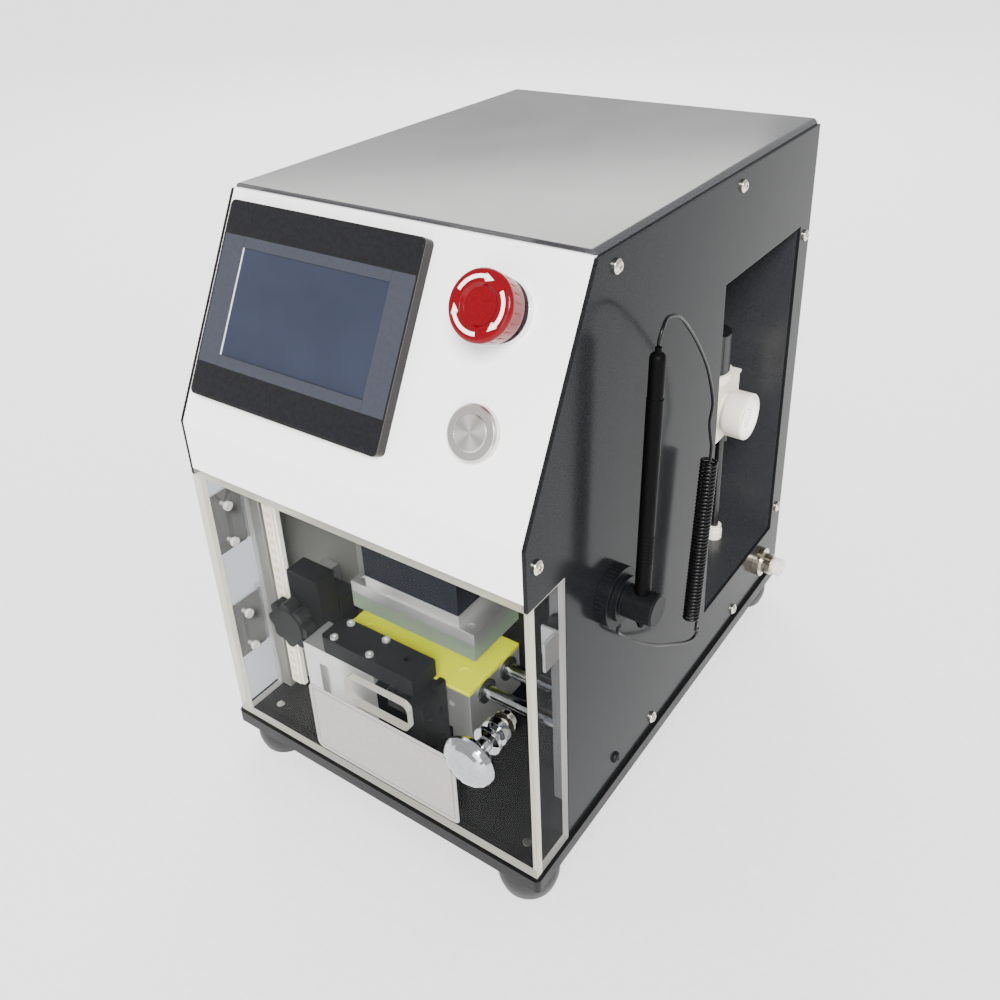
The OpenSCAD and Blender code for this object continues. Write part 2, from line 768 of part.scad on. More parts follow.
// A leaf flat on the outer face, with two domed nuts
module leaf(zc, away) {
    near = notch_d + away * hinge_offset;
    far = notch_d + away * hinge_leaf_w;
    block(-half_w - leaf_t, -half_w, min(near, far), max(near, far), zc - hinge_h / 2, zc + hinge_h / 2);
    for (s = [-1, 1]) bar_x(hinge_nut_d, -half_w - leaf_t - hinge_nut_h, -half_w - leaf_t,
        notch_d + away * hinge_screw_y, zc + s * hinge_h * hinge_pitch_share / 2);
}

module door_hinges() {
    color("#c2c4c6") on_deck() {
        for (zc = hinge_zs) {
            knuckle(zc - knuckle_h / 2, zc + knuckle_h / 2, -1);
            leaf(zc, -1);
        }
        for (z = hinge_screw_zs) {
            bar_x(hinge_screw_d - 2 * fine_gap, -half_w, -half_w + acrylic_t, notch_d - hinge_screw_y, z);
            bar_x(hinge_nut_d, -half_w + acrylic_t, -half_w + acrylic_t + hinge_nut_h,
                notch_d - hinge_screw_y, z);
        }
    }
}

module body_hinges() {
    color("#c2c4c6") on_deck() for (zc = hinge_zs) {
        knuckle(zc - hinge_h / 2, zc - knuckle_h / 2 - knuckle_gap, 1);
        knuckle(zc + knuckle_h / 2 + knuckle_gap, zc + hinge_h / 2, 1);
        leaf(zc, 1);
        bar_z(pin_d, hinge_x, notch_d, zc - hinge_h / 2, zc + hinge_h / 2);
    }
}

// Catches on the right: magnets on the post and a strike bracket on the door
magnet_t = 3;
magnet_d = 9.6;
magnet_z = 143;
magnet_screw_d = 5;
magnet_screw_h = 1.2;
strike_low = 124;
strike_high = 141;
strike_w = 9;
strike_t = 1.5;
strike_leg = 12;
strike_screw_d = 5;
strike_screw_h = 1.8;

module door_magnets() {
    color("#1d1d1f") on_deck() translate([inner_w - post_right_w / 2, 0, 0]) {
        difference() {
            bar_y(magnet_d, 0, notch_d + seat_gap, notch_d + magnet_t, magnet_z);
            bar_y(magnet_screw_d, 0, notch_d, notch_d + seat_gap + magnet_screw_h, magnet_z);
        }
        bar_y(magnet_screw_d - 2 * fine_gap, 0, notch_d + 2 * seat_gap,
            notch_d + seat_gap + magnet_screw_h, magnet_z);
        block(-post_right_w / 2, post_right_w / 2, notch_d + seat_gap, notch_d + magnet_t, 0, catch_block_h);
    }
}

module door_strike() {
    color("#c2c4c6") on_deck() translate([half_w - acrylic_t, 0, 0]) {
        block(-strike_t, 0, door_back - strike_leg, door_back, strike_low, strike_high);
        block(-strike_w, -strike_t, door_back - strike_t, door_back, strike_low, strike_high);
        for (z = [strike_low + strike_screw_d, strike_high - strike_screw_d])
            bar_x(strike_screw_d, -strike_t - strike_screw_h, -strike_t, door_back - strike_leg / 2, z);
    }
}

// Twisting mechanism: rods, supports, carriage with bushes and pad
carriage_right = 43;
carriage_left = carriage_right - carriage_w;
carriage_front = 38.2;
carriage_back = carriage_front + carriage_d;
carriage_top = pad_z - lower_pad_t;
carriage_low = carriage_top - carriage_h;
bush_cover = 0.7;
rod_z = carriage_top - bush_d / 2 - bush_cover;
rod_y1 = 53;
rod_y2 = 74;
support_w = 12;
support_front = 44;
support_back = 84;
support_gap = 0.5;
bush_len = 10;
bush_flange_d = 14.5;
bush_flange_t = 1.5;

module guide_rods() {
    color("#d9dbdd") on_deck() for (y = [rod_y1, rod_y2])
        bar_x(guide_rod_d, support_gap - inner_w, inner_w - support_gap, y, rod_z);
}

module rod_supports() {
    color("#a9abad") on_deck() difference() {
        both_sides() block(inner_w - support_w, inner_w, support_front, support_back, 0, rod_z + bush_d);
        for (y = [rod_y1, rod_y2])
            bar_x(guide_rod_d + 2 * fine_gap, -inner_w - overrun, inner_w + overrun, y, rod_z);
    }
}

lug_w = 14;
lug_x = 33;
lug_front = 42;
lug_back = 80;
lug_low = 3;
drive_rod_d = 8;
drive_y = 63;
drive_z = 15;
front_hole_d = 4;
front_hole_depth = 6;
pad_screw_inset = 12.5;
pad_screws_at = [for (x = [carriage_left + pad_screw_inset, carriage_right - pad_screw_inset],
    y = [carriage_front + pad_screw_inset, carriage_back - pad_screw_inset]) [x, y]];
pad_screw_d = 6.5;
pad_screw_h = 1.6;
pad_bolt_d = 3.5;
pad_bolt_len = 2;

module carriage() {
    color("#b3b5b8") on_deck() difference() {
        union() {
            block(carriage_left, carriage_right, carriage_front, carriage_back,
                carriage_low, carriage_top);
            block(lug_x - lug_w / 2, lug_x + lug_w / 2, lug_front, lug_back,
                lug_low, carriage_low);
        }
        for (y = [rod_y1, rod_y2])
            bar_x(bush_d + 2 * fine_gap, carriage_left - overrun, carriage_right + overrun, y, rod_z);
        bar_x(drive_rod_d, lug_x - lug_w, lug_x + lug_w, drive_y, drive_z);
        bar_y(front_hole_d, carriage_right - pad_screw_inset, carriage_front - overrun,
            carriage_front + front_hole_depth, rod_z - front_hole_d);
        for (p = pad_screws_at)
            bar_z(pad_bolt_d, p[0], p[1], carriage_top - pad_bolt_len, carriage_top + overrun);
    }
}

module carriage_bushes() {
    middle = (carriage_left + carriage_right) / 2;
    color("#b08d45") on_deck() translate([middle, 0, 0]) both_sides() for (y = [rod_y1, rod_y2])
        difference() {
        union() {
            bar_x(bush_d, carriage_w / 2 - bush_len, carriage_w / 2, y, rod_z);
            bar_x(bush_flange_d, carriage_w / 2, carriage_w / 2 + bush_flange_t, y, rod_z);
        }
        bar_x(guide_rod_d + 2 * run_gap, carriage_w / 2 - bush_len - overrun,
            carriage_w / 2 + bush_flange_t + overrun, y, rod_z);
    }
}

module lower_pad() {
    color("#e3d800") on_deck() {
        difference() {
            block(carriage_left, carriage_right, carriage_front, carriage_back, carriage_top, pad_z);
            for (p = pad_screws_at) bar_z(pad_screw_d + 2 * fine_gap, p[0], p[1], carriage_top - overrun,
                pad_z + overrun);
        }
        for (p = pad_screws_at) {
            bar_z(pad_screw_d, p[0], p[1], carriage_top, carriage_top + pad_screw_h);
            bar_z(pad_bolt_d - 2 * fine_gap, p[0], p[1], carriage_top - pad_bolt_len, carriage_top);
        }
    }
}

// Round air cylinder under the carriage; its rod carries the carriage's lug
drive_d = 20;
drive_x0 = -95;
drive_x1 = -8;
drive_cap_d = 23;
drive_cap_len = 12;
drive_foot_w = 16;

module drive_cylinder() {
    color("#9da0a3") on_deck() difference() {
        union() {
            bar_x(drive_d, drive_x0, drive_x1, drive_y, drive_z);
            for (x = [drive_x0, drive_x1 - drive_cap_len]) {
                bar_x(drive_cap_d, x, x + drive_cap_len, drive_y, drive_z);
                block(x, x + drive_cap_len, drive_y - drive_foot_w, drive_y + drive_foot_w,
                    0, drive_z - drive_d / 4);
            }
        }
        bar_x(drive_rod_d + 2 * run_gap, drive_x0 + drive_cap_len, drive_x1 + overrun, drive_y, drive_z);
    }
}

module drive_rod() {
    color("#d9dbdd") on_deck()
        bar_x(drive_rod_d - 2 * fine_gap, drive_x1 - carriage_travel - drive_cap_len,
            lug_x + lug_w / 2, drive_y, drive_z);
}

// Stop block: a split clamp on the front rod, with a tall front cheek
stop_w = 24.5;
stop_x = -85;
stop_front = 32.5;
stop_low = 42;
stop_top = 98;
stop_cheek_back = 47;
stop_back = 62;
stop_back_top = 76;
stop_slit = 2;
stop_profile = [[stop_front, stop_low], [stop_back, stop_low], [stop_back, stop_back_top],
    [stop_cheek_back + stop_slit, stop_back_top], [stop_cheek_back + stop_slit, rod_z + stop_slit / 2],
    [rod_y1, rod_z + stop_slit / 2], [rod_y1, rod_z - stop_slit / 2],
    [stop_cheek_back, rod_z - stop_slit / 2],
    [stop_cheek_back, stop_top], [stop_front, stop_top]];
knob_z = 68;
knob_d = 24;
knob_lobe_d = 8;
knob_lobes = 8;
knob_t = 9;
knob_hub_d = 15;
knob_hub_len = 4;
knob_stud_d = 5;
knob_inset = 8.1;
knob_x = stop_x + knob_inset;

module stop_block() {
    color("#232427") on_deck() difference() {
        side_plate(stop_x, stop_w) polygon(stop_profile);
        bar_x(guide_rod_d + 2 * run_gap, stop_x - overrun, stop_x + stop_w + overrun, rod_y1, rod_z);
        bar_y(knob_stud_d + 2 * run_gap, knob_x, stop_front - overrun, stop_back + overrun, knob_z);
    }
}

module clamp_knob() {
    color("#1a1a1c") on_deck() {
        bar_y(knob_hub_d, knob_x, stop_front - seat_gap - knob_hub_len, stop_front - seat_gap, knob_z);
        bar_y(knob_stud_d, knob_x, stop_front - seat_gap, stop_back - sheet_t, knob_z);
        translate([knob_x, stop_front - seat_gap - knob_hub_len, knob_z]) rotate([90, 0, 0]) {
            cylinder(d = knob_d, h = knob_t);
            for (i = [0:knob_lobes - 1]) rotate([0, 0, 360 * i / knob_lobes])
                translate([knob_d / 2, 0, 0]) cylinder(d = knob_lobe_d, h = knob_t - start_chamfer);
        }
    }
}

// Press: bracket, guided cylinder, rods, plate and upper pad
plate_left = -45.5;
plate_right = 43;
plate_front = 45.5;
plate_back = 87;
plate_t = 7.7;
ram_left = -35;
ram_right = 32;
ram_front = 47;
ram_back = 85;
ram_t = 6.6;
upper_low = pad_z + pad_opening;
plate_low = upper_low + upper_pad_t;
ram_low = plate_low + plate_t;
ram_top = ram_low + ram_t;
cylinder_gap = 0.5;
cylinder_low = ram_top + cylinder_gap;
cylinder_h = 72;
cylinder_back = 92;
press_rod_d = 8;
press_rod_inset = 14;
press_rod_y = 68;
rod_bore_len = 66;
rod_len = 60;
press_rod_xs = [ram_left + press_rod_inset, (ram_left + ram_right) / 2, ram_right - press_rod_inset];
bracket_t = 8;
bracket_half_w = 46;
bracket_h = 190;
plate_hole_d = 4;
plate_hole_inset = 5.6;

module press_bracket() {
    web_back = bulkhead_y - seat_gap;
    color("#26272a") on_deck() {
        block(-bracket_half_w, bracket_half_w, cylinder_back, cylinder_back + bracket_t, 0, bracket_h);
        both_sides() block(bracket_half_w - bracket_t, bracket_half_w, cylinder_back + bracket_t, web_back,
            0, bracket_h);
    }
}

module press_cylinder() {
    color("#2b2d38") on_deck() difference() {
        block(ram_left, ram_right, ram_front, cylinder_back, cylinder_low, cylinder_low + cylinder_h);
        for (x = press_rod_xs) bar_z(press_rod_d + 2 * run_gap, x, press_rod_y,
            cylinder_low - overrun, cylinder_low + rod_bore_len);
    }
}

module press_rods() {
    color("#d9dbdd") on_deck() for (x = press_rod_xs)
        bar_z(press_rod_d, x, press_rod_y, ram_top, ram_top + rod_len);
}

module upper_plate() {
    color("#b9bbbd") on_deck() difference() {
        union() {
            block(plate_left, plate_right, plate_front, plate_back, plate_low, ram_low);
            block(ram_left, ram_right, ram_front, ram_back, ram_low, ram_top);
        }
        for (x = [plate_left + plate_hole_inset, plate_right - plate_hole_inset],
            y = [plate_front + plate_hole_inset, plate_back - plate_hole_inset])
            bar_z(plate_hole_d, x, y, plate_low - overrun, ram_low + overrun);
    }
}

module upper_pad() {
    color("#b9c7b4", 0.8) on_deck()
        block(plate_left, plate_right, plate_front, plate_back, upper_low, plate_low);
}

// Wire clamp: aluminium body, black jaw block, cover with its screws and a rising jaw
clamp_left = -60;
clamp_right = clamp_left + clamp_w;
clamp_front = 16;
clamp_back = clamp_front + clamp_d;
clamp_split = -6;
cover_left = -45;
cover_right = 22.5;
cover_low = wire_z;
cover_high = cover_low + clamp_cover_t;
cover_chamfer = 4;
cover_screw_d = 4.6;
cover_screw_h = 1.4;
cover_hole_d = 5;
jaw_w = 15;
jaw_offset = 0.8;
jaw_x = wire_slot_x + jaw_offset;
jaw_wall = 2.5;
jaw_h = 12;
jaw_shaft_d = 8;
jaw_room = 24.1;
pocket_inset = 11;
pocket_left = clamp_left + pocket_inset;
pocket_low = 24;
pocket_high = 56;
pocket_depth = 3;
finger_w = 21;
finger_low = 44;
finger_t = 2;
boss_w = 4;
boss_d = 7;
boss_drop = 1;
socket_d = 4;
socket_depth = 2;
cover_screw_inset = 3;
cover_screw_left = 8.5;
cover_screw_right = 4;
cover_back = clamp_back - overrun;
cover_screws_at = [for (x = [cover_left + cover_screw_left, clamp_split - cover_screw_right],
    y = [clamp_front + cover_screw_inset, cover_back - cover_screw_inset]) [x, y]];

module wire_clamp() {
    color("#b0b2b6") on_deck() {
        difference() {
            block(clamp_left, clamp_split, clamp_front, clamp_back, 0, cover_low);
            block(pocket_left, clamp_split + overrun, clamp_front - overrun, clamp_front + pocket_depth,
                pocket_low, pocket_high);
        }
        block(clamp_split - finger_w, clamp_split, clamp_front + pocket_depth - finger_t,
            clamp_front + pocket_depth, finger_low, pocket_high);
        for (p = cover_screws_at) difference() {
            bar_z(cover_screw_d, p[0], p[1], cover_high - cover_screw_h, cover_high + cover_screw_h);
            bar_z(cover_screw_d / 2, p[0], p[1], cover_high, cover_high + 2 * cover_screw_h);
        }
    }
}

module clamp_block() {
    color("#2a2b2e") on_deck() {
        difference() {
            block(clamp_split, clamp_right, clamp_front, clamp_back, 0, pad_z);
            block(jaw_x - jaw_w / 2 - seat_gap, jaw_x + jaw_w / 2 + seat_gap, clamp_front - overrun,
                clamp_back + overrun, pad_z - jaw_h - seat_gap, pad_z + overrun);
            bar_z(jaw_shaft_d + 2 * run_gap, jaw_x, (clamp_front + clamp_back) / 2, jaw_wall, pad_z);
            for (y = [clamp_front + clamp_d * 0.3, clamp_back - clamp_d * 0.3],
                z = [pad_z * 0.45, pad_z * 0.78])
                bar_x(socket_d, clamp_right - socket_depth, clamp_right + overrun, y, z);
        }
        block(clamp_right - boss_w, clamp_right, clamp_back - boss_d, clamp_back, pad_z,
            cover_low - boss_drop);
    }
}

module clamp_cover() {
    color("#2a2b2e") on_deck() difference() {
        translate([0, 0, cover_low]) linear_extrude(clamp_cover_t)
            polygon([[cover_left + cover_chamfer / 2, clamp_front], [cover_right, clamp_front],
                [cover_right, cover_back], [cover_left + cover_chamfer, cover_back],
                [cover_left, cover_back - cover_chamfer], [cover_left, clamp_front + cover_chamfer / 2]]);
        bar_z(cover_hole_d, jaw_x, clamp_front + clamp_d * 0.6, cover_low - overrun, cover_high + overrun);
        for (p = cover_screws_at)
            bar_z(cover_screw_d + 2 * fine_gap, p[0], p[1], cover_high - cover_screw_h, cover_high + overrun);
    }
}

module clamp_jaw() {
    color("#c3c5c7") on_deck() {
        block(jaw_x - jaw_w / 2, jaw_x + jaw_w / 2, clamp_front, clamp_back,
            pad_z - jaw_h, pad_z);
        bar_z(jaw_shaft_d, jaw_x, (clamp_front + clamp_back) / 2, jaw_wall + jaw_lift + jaw_room,
            pad_z - jaw_h);
    }
}

// Stylus holder: knurled flange, ring and arm with a cross hole
holder_flange_t = 7;
holder_ring_d = 24;
holder_ring_t = 3;
holder_hole_reach = 18;
holder_hole_x = half_w + holder_hole_reach;
holder_chamfer = 0.8;
holder_nut_d = 12;
holder_nut_t = 3;
gland_d = 4;
gland_reach = 5;
gland_drop = 3;
gland_x = half_w + gland_reach;
gland_low = holder_z - holder_flange_d / 2 - gland_drop;
knurls = 40;
knurl_d = 1.2;

// Places children on the stylus: z along it, the origin in the middle of the arm
module on_stylus() {
    translate([holder_hole_x, holder_y, holder_z]) rotate([-stylus_lean, 0, 0]) children();
}

module stylus_holder() {
    color("#1f1f21") on_deck() difference() {
        union() {
            translate([half_w, holder_y, holder_z]) rotate([0, 90, 0]) {
                difference() {
                    cylinder(d = holder_flange_d, h = holder_flange_t);
                    for (i = [0:knurls - 1]) rotate([0, 0, 360 * i / knurls])
                        translate([holder_flange_d / 2 + knurl_d / 4, 0, holder_chamfer])
                        cylinder(d = knurl_d, h = holder_flange_t - 3 * holder_chamfer, $fn = 4);
                }
                translate([0, 0, holder_flange_t]) cylinder(d = holder_ring_d, h = holder_ring_t);
                cylinder(d = holder_arm_d, h = holder_reach - holder_chamfer);
                translate([0, 0, holder_reach - holder_chamfer])
                    cylinder(d1 = holder_arm_d, d2 = holder_arm_d - 2 * holder_chamfer, h = holder_chamfer);
            }
            bar_x(holder_stud_d - 2 * fine_gap, inner_w - holder_nut_t, half_w, holder_y, holder_z);
            bar_x(holder_nut_d, inner_w - holder_nut_t, inner_w, holder_y, holder_z);
            bar_z(gland_d, gland_x, holder_y, gland_low, holder_z - holder_flange_d / 4);
        }
        on_stylus() {
            translate([0, 0, -stylus_seat]) cylinder(d = stylus_d + 2 * run_gap, h = 2 * holder_arm_d);
            translate([0, 0, -holder_arm_d]) cylinder(d = tip_d + 4 * run_gap, h = holder_arm_d);
        }
    }
}

// Stylus: barrel with grip rings, cap with a cord nub, and a soft tip
stylus_cap_len = 22;
stylus_cap_step = 0.2;
stylus_cap_d = stylus_d - 2 * stylus_cap_step;
stylus_seat = 6;
stylus_below = stylus_seat - seat_gap;
tip_len = 7;
tip_d = 5;
nub_d = 3;
nub_len = 2.5;
dome_h = 3;
groove_depth = 0.35;
groove_w = 0.6;
groove_pitch = 2;
grooves = 8;
groove_from = 26;
stylus_profile = concat([[0, -stylus_below - tip_len], [tip_d / 2 * 0.6, -stylus_below - tip_len],
    [tip_d / 2, -stylus_below - tip_len * 0.6], [tip_d / 2, -stylus_below],
    [stylus_d / 2 - groove_w, -stylus_below], [stylus_d / 2, -stylus_below + groove_w]],
    [for (i = [0:grooves - 1],
    p = [[0, 0], [-groove_depth, groove_w / 4], [-groove_depth, groove_w], [0, groove_w * 1.25]])
        [stylus_d / 2 + p[0], groove_from + i * groove_pitch + p[1]]],
    [[stylus_d / 2, stylus_up - stylus_cap_len],
    [stylus_cap_d / 2 - groove_depth, stylus_up - stylus_cap_len],
     [stylus_cap_d / 2 - groove_depth, stylus_up - stylus_cap_len + groove_w],
     [stylus_cap_d / 2, stylus_up - stylus_cap_len + groove_w]],
    [for (i = [0:6]) [nub_d / 2 + (stylus_cap_d - nub_d) / 2 * cos(90 * i / 6),
    stylus_up - dome_h + dome_h * sin(90 * i / 6)]],
    [[nub_d / 2, stylus_up + nub_len], [0, stylus_up + nub_len]]);

module stylus() {
    color("#1c1c1e") on_deck() on_stylus() rotate_extrude() polygon(stylus_profile);
}

// Vector helpers for the cord
function unit(v) = v / norm(v);
function on_lean(p, lean) = [p[0], p[1] * cos(lean) + p[2] * sin(lean), -p[1] * sin(lean) + p[2] * cos(lean)];

// Curly length: its lower middle beside the right panel, its lean and its pitch
coil_reach = 12;
coil_foot = [half_w + coil_reach, 146, 73];
coil_lean = 6.5;
coil_len = 101;
curl_r = (curl_d - cord_d) / 2;
curl_turns = curls + 0.5;
curl_pitch = coil_len / curl_turns;
curl_rings = 8;
curl_a0 = 90;
curl_a1 = curl_a0 + 360 * curl_turns;
turn_r = 1.2 * cord_d;
lead = 1.5 * cord_d;

function in_coil(p) = coil_foot + on_lean(p, coil_lean);
function radial(a) = [cos(a), sin(a), 0];
function tangent(a) = [-sin(a), cos(a), 0];
function curl_point(a) = curl_r * radial(a) + [0, 0, curl_pitch * (a - curl_a0) / 360];
function curl_end(a, s, b) = curl_point(a) + turn_r * sin(b) * s * tangent(a)
    + [0, 0, s * turn_r * (1 - cos(b))];

coil_angles = [for (i = [0:curl_turns * curl_rings]) curl_a0 + 360 * i / curl_rings];
coil_low_end = curl_end(curl_a0, -1, 90) + [0, 0, -lead];
coil_high_end = curl_end(curl_a1, 1, 90) + [0, 0, lead];
coil_local = concat([coil_low_end], [for (b = [90, 60, 30]) curl_end(curl_a0, -1, b)],
    [for (a = coil_angles) curl_point(a)],
    [for (b = [30, 60, 90]) curl_end(curl_a1, 1, b)], [coil_high_end]);
coil_normals = concat([for (i = [0:3]) radial(curl_a0)], [for (a = coil_angles) radial(a)],
    [for (i = [0:3]) radial(curl_a1)]);
coil_points = [for (p = coil_local) in_coil(p)];

// Least clear distance between curls, measured on the points of the centre line
curl_gap = min([for (i = [0:len(coil_local) - 1],
    j = [i + curl_rings - 2:1:min(i + 3 * curl_rings, len(coil_local) - 1)])
    if (j - i > curl_rings / 2) norm(coil_local[i] - coil_local[j])]) - cord_d;

// Free lengths: hand-chosen places beside the right panel, above the base plate
function beside(p) = [half_w + p[0], p[1], p[2]];
stylus_top = [holder_hole_x, holder_y, holder_z] + on_lean([0, 0, stylus_up + nub_len], stylus_lean);
stylus_dir = on_lean([0, 0, 1], stylus_lean);
coil_dir = on_lean([0, 0, 1], coil_lean);
upper_route = [[18, 84, 281], [17, 91, 283], [17, 102, 279], [16, 116, 267], [15, 130, 252], [14, 142, 237],
    [13, 151, 222], [13, 155, 209], [12, 155, 197]];
lower_route = [[14, 153, 61], [13, 150, 57], [12, 143, 58], [10, 127, 67], [9, 108, 80], [7, 90, 95],
    [5, 77, 108]];
upper_line = concat([stylus_top, stylus_top + lead * stylus_dir], [for (p = upper_route) beside(p)],
    [in_coil(coil_high_end) + 2 * lead * coil_dir, in_coil(coil_high_end)]);
gland_point = [gland_x, holder_y, gland_low];
lower_line = concat([in_coil(coil_low_end), in_coil(coil_low_end) - 2 * lead * coil_dir],
    [for (p = lower_route) beside(p)], [gland_point - [0, 0, 1.5 * lead], gland_point]);

// A smooth line through the places, straight in its first and last stretch
function spline(p0, p1, p2, p3, t) = 0.5 * ((2 * p1) + (p2 - p0) * t + (2 * p0 - 5 * p1 + 4 * p2 - p3) * t * t
    + (3 * p1 - p0 - 3 * p2 + p3) * t * t * t);
function smooth(p, n) = concat([p[0]],
    [for (i = [1:len(p) - 3], k = [0:n - 1]) spline(p[i - 1], p[i], p[i + 1], p[i + 2], k / n)],
    [p[len(p) - 2], p[len(p) - 1]]);
function line_length(p) = sum([for (i = [1:len(p) - 1]) norm(p[i] - p[i - 1])]);
function sum(v, i = 0) = i < len(v) ? v[i] + sum(v, i + 1) : 0;
upper_points = smooth(upper_line, 3);
lower_points = smooth(lower_line, 3);

// A round tube swept along points; the normals keep its rings from twisting
module tube(p, normals, d, sides) {
    n = len(p);
    rings = [for (i = [0:n - 1]) let(
        t = unit(p[min(i + 1, n - 1)] - p[max(i - 1, 0)]),
        b = unit(cross(t, normals[i])), m = cross(b, t))
        for (j = [0:sides - 1]) p[i] + d / 2 * (cos(360 * j / sides) * m + sin(360 * j / sides) * b)];
    sides_a = [for (i = [0:n - 2], j = [0:sides - 1]) [i * sides + j, (i + 1) * sides + j,
        (i + 1) * sides + (j + 1) % sides]];
    sides_b = [for (i = [0:n - 2], j = [0:sides - 1]) [i * sides + j, (i + 1) * sides + (j + 1) % sides,
        i * sides + (j + 1) % sides]];
    first = [for (j = [1:sides - 2]) [0, j, j + 1]];
    last = [for (j = [1:sides - 2]) [(n - 1) * sides, (n - 1) * sides + j + 1, (n - 1) * sides + j]];
    polyhedron(points = rings, faces = concat(sides_a, sides_b, first, last), convexity = 10);
}

module cord_upper() {
    color("#151517") on_deck() tube(upper_points, [for (p = upper_points) [-1, 0, 0]], cord_d, 8);
}

module cord_coil() {
    color("#151517") on_deck() tube(coil_points, [for (v = coil_normals) on_lean(v, coil_lean)], cord_d, 6);
}

module cord_lower() {
    color("#151517") on_deck() tube(lower_points, [for (p = lower_points) [-1, 0, 0]], cord_d, 8);
}

// Air regulator on a bracket in the niche
reg_z0 = 128;
reg_z1 = 165;
reg_x = (reg_x0 + reg_x1) / 2;
reg_y = (reg_y0 + reg_y1) / 2;
reg_bracket_t = 2;
reg_neck_d = 20;
reg_nut_d = 30;
reg_nut_t = 5;
reg_knob_h = 26;
reg_stem_d = 10;
reg_corner_r = 3;
reg_neck_len = 9;
fitting_d = 11.4;
fitting_collar_d = 10;
fitting_h = 10;
fitting_low = 12;
elbow_d = 10;
elbow_h = 11;

module regulator() {
    shoulder = reg_z1 + reg_bracket_t;
    color("#dcd8cf") on_deck() {
        translate([reg_x0, reg_y0, reg_z0])
            slab(reg_x1 - reg_x0, reg_y1 - reg_y0, reg_z1 - reg_z0, reg_corner_r);
        difference() {
            union() {
                bar_z(reg_neck_d, reg_x, reg_y, reg_z1, shoulder + reg_nut_t + reg_neck_len);
                bar_z(reg_nut_d, reg_x, reg_y, shoulder, shoulder + reg_nut_t);
                block(niche_inner, reg_x1, reg_y0, reg_y1, reg_z1, shoulder);
                block(niche_inner, niche_inner + reg_bracket_t, reg_y0, reg_y1, reg_z0, reg_z1);
            }
            bar_z(reg_stem_d, reg_x, reg_y, shoulder, shoulder + reg_knob_h);
        }
        for (p = hoses_at) difference() {
            union() {
                bar_z(fitting_hole_d - 2 * fine_gap, p[0], p[1], niche_floor - fitting_low, niche_floor);
                bar_z(fitting_d, p[0], p[1], niche_floor, niche_floor + fitting_h * 0.6);
                bar_z(fitting_collar_d, p[0], p[1], niche_floor + fitting_h * 0.6, niche_floor + fitting_h);
            }
            bar_z(hose_d, p[0], p[1], niche_floor, niche_floor + fitting_h + overrun);
        }
    }
}

module regulator_knob() {
    color("#1d1d20") on_deck() translate([reg_x, reg_y, reg_z1 + reg_bracket_t + reg_nut_t + seat_gap])
        difference() {
            cylinder(d = regulator_knob_d, h = reg_knob_h);
            translate([0, 0, -overrun])
                cylinder(d = reg_neck_d + 2 * run_gap, h = reg_neck_len + 2 * overrun);
            for (i = [0:11]) rotate([0, 0, 30 * i])
                translate([regulator_knob_d / 2 + flute_d / 4, 0, overrun])
                cylinder(d = flute_d, h = reg_knob_h, $fn = 16);
        }
}

// Gauge: case, dial, needle on its pin and lens
gauge_from_front = 12;
gauge_y = reg_y0 + gauge_from_front;
gauge_z = 149;
gauge_len = 19;
gauge_wall = 2;
gauge_dial = 6;
gauge_lens_t = 2;
needle_t = 0.8;
needle_w = 1.6;
needle_pin_d = 3;
needle_rest = -135;

module gauge() {
    color("#e2dfd8") on_deck() translate([reg_x1, gauge_y, gauge_z]) rotate([0, 90, 0]) {
        difference() {
            cylinder(d = gauge_d, h = gauge_len - gauge_lens_t);
            translate([0, 0, gauge_len - gauge_dial]) cylinder(d = gauge_d - 2 * gauge_wall, h = gauge_dial);
        }
        translate([0, 0, gauge_len - gauge_lens_t]) cylinder(d = gauge_d, h = gauge_lens_t);
    }
}

module gauge_needle() {
    color("#1a1a1a") on_deck() translate([reg_x1 + gauge_len - gauge_dial + needle_t, gauge_y, gauge_z])
        rotate([0, 90, 0]) {
            cylinder(d = needle_pin_d, h = needle_t);
            rotate([0, 0, needle_rest]) translate([-needle_w / 2, 0, 0])
                cube([needle_w, gauge_d / 2 - 2 * gauge_wall, needle_t]);
        }
}

module air_hoses() {
    color("#141415") on_deck() for (p = hoses_at) {
        bar_z(hose_d, p[0], p[1], niche_floor, reg_z0 - elbow_h);
        bar_z(elbow_d, p[0], p[1], reg_z0 - elbow_h, reg_z0);
    }
}

// Push-in air inlet: flange and body, and a release ring that slides in it
inlet_flange_d = 20;
inlet_flange_t = 5;
inlet_body_d = 14;
inlet_ring_d = 12;
inlet_ring_t = 5;
inlet_sleeve_d = 9;
inlet_travel = 1.2;
inlet_stop = 12;
inlet_inside = 16;
inlet_body_x = half_w + inlet_reach - inlet_ring_t - inlet_travel - seat_gap;
inlet_sleeve_x = half_w + inlet_flange_t / 2;

module air_inlet() {
    color("#b9a06a") on_deck() difference() {
        union() {
            bar_x(inlet_flange_d, half_w, half_w + inlet_flange_t, inlet_y, inlet_z);
            bar_x(inlet_body_d, half_w, inlet_body_x, inlet_y, inlet_z);
            bar_x(inlet_hole_d - 2 * fine_gap, half_w - inlet_inside, half_w, inlet_y, inlet_z);
        }
        bar_x(inlet_tube_d + 2 * run_gap, half_w - inlet_stop, half_w + inlet_reach, inlet_y, inlet_z);
        bar_x(inlet_sleeve_d + 2 * run_gap, inlet_sleeve_x, half_w + inlet_reach, inlet_y, inlet_z);
    }
}

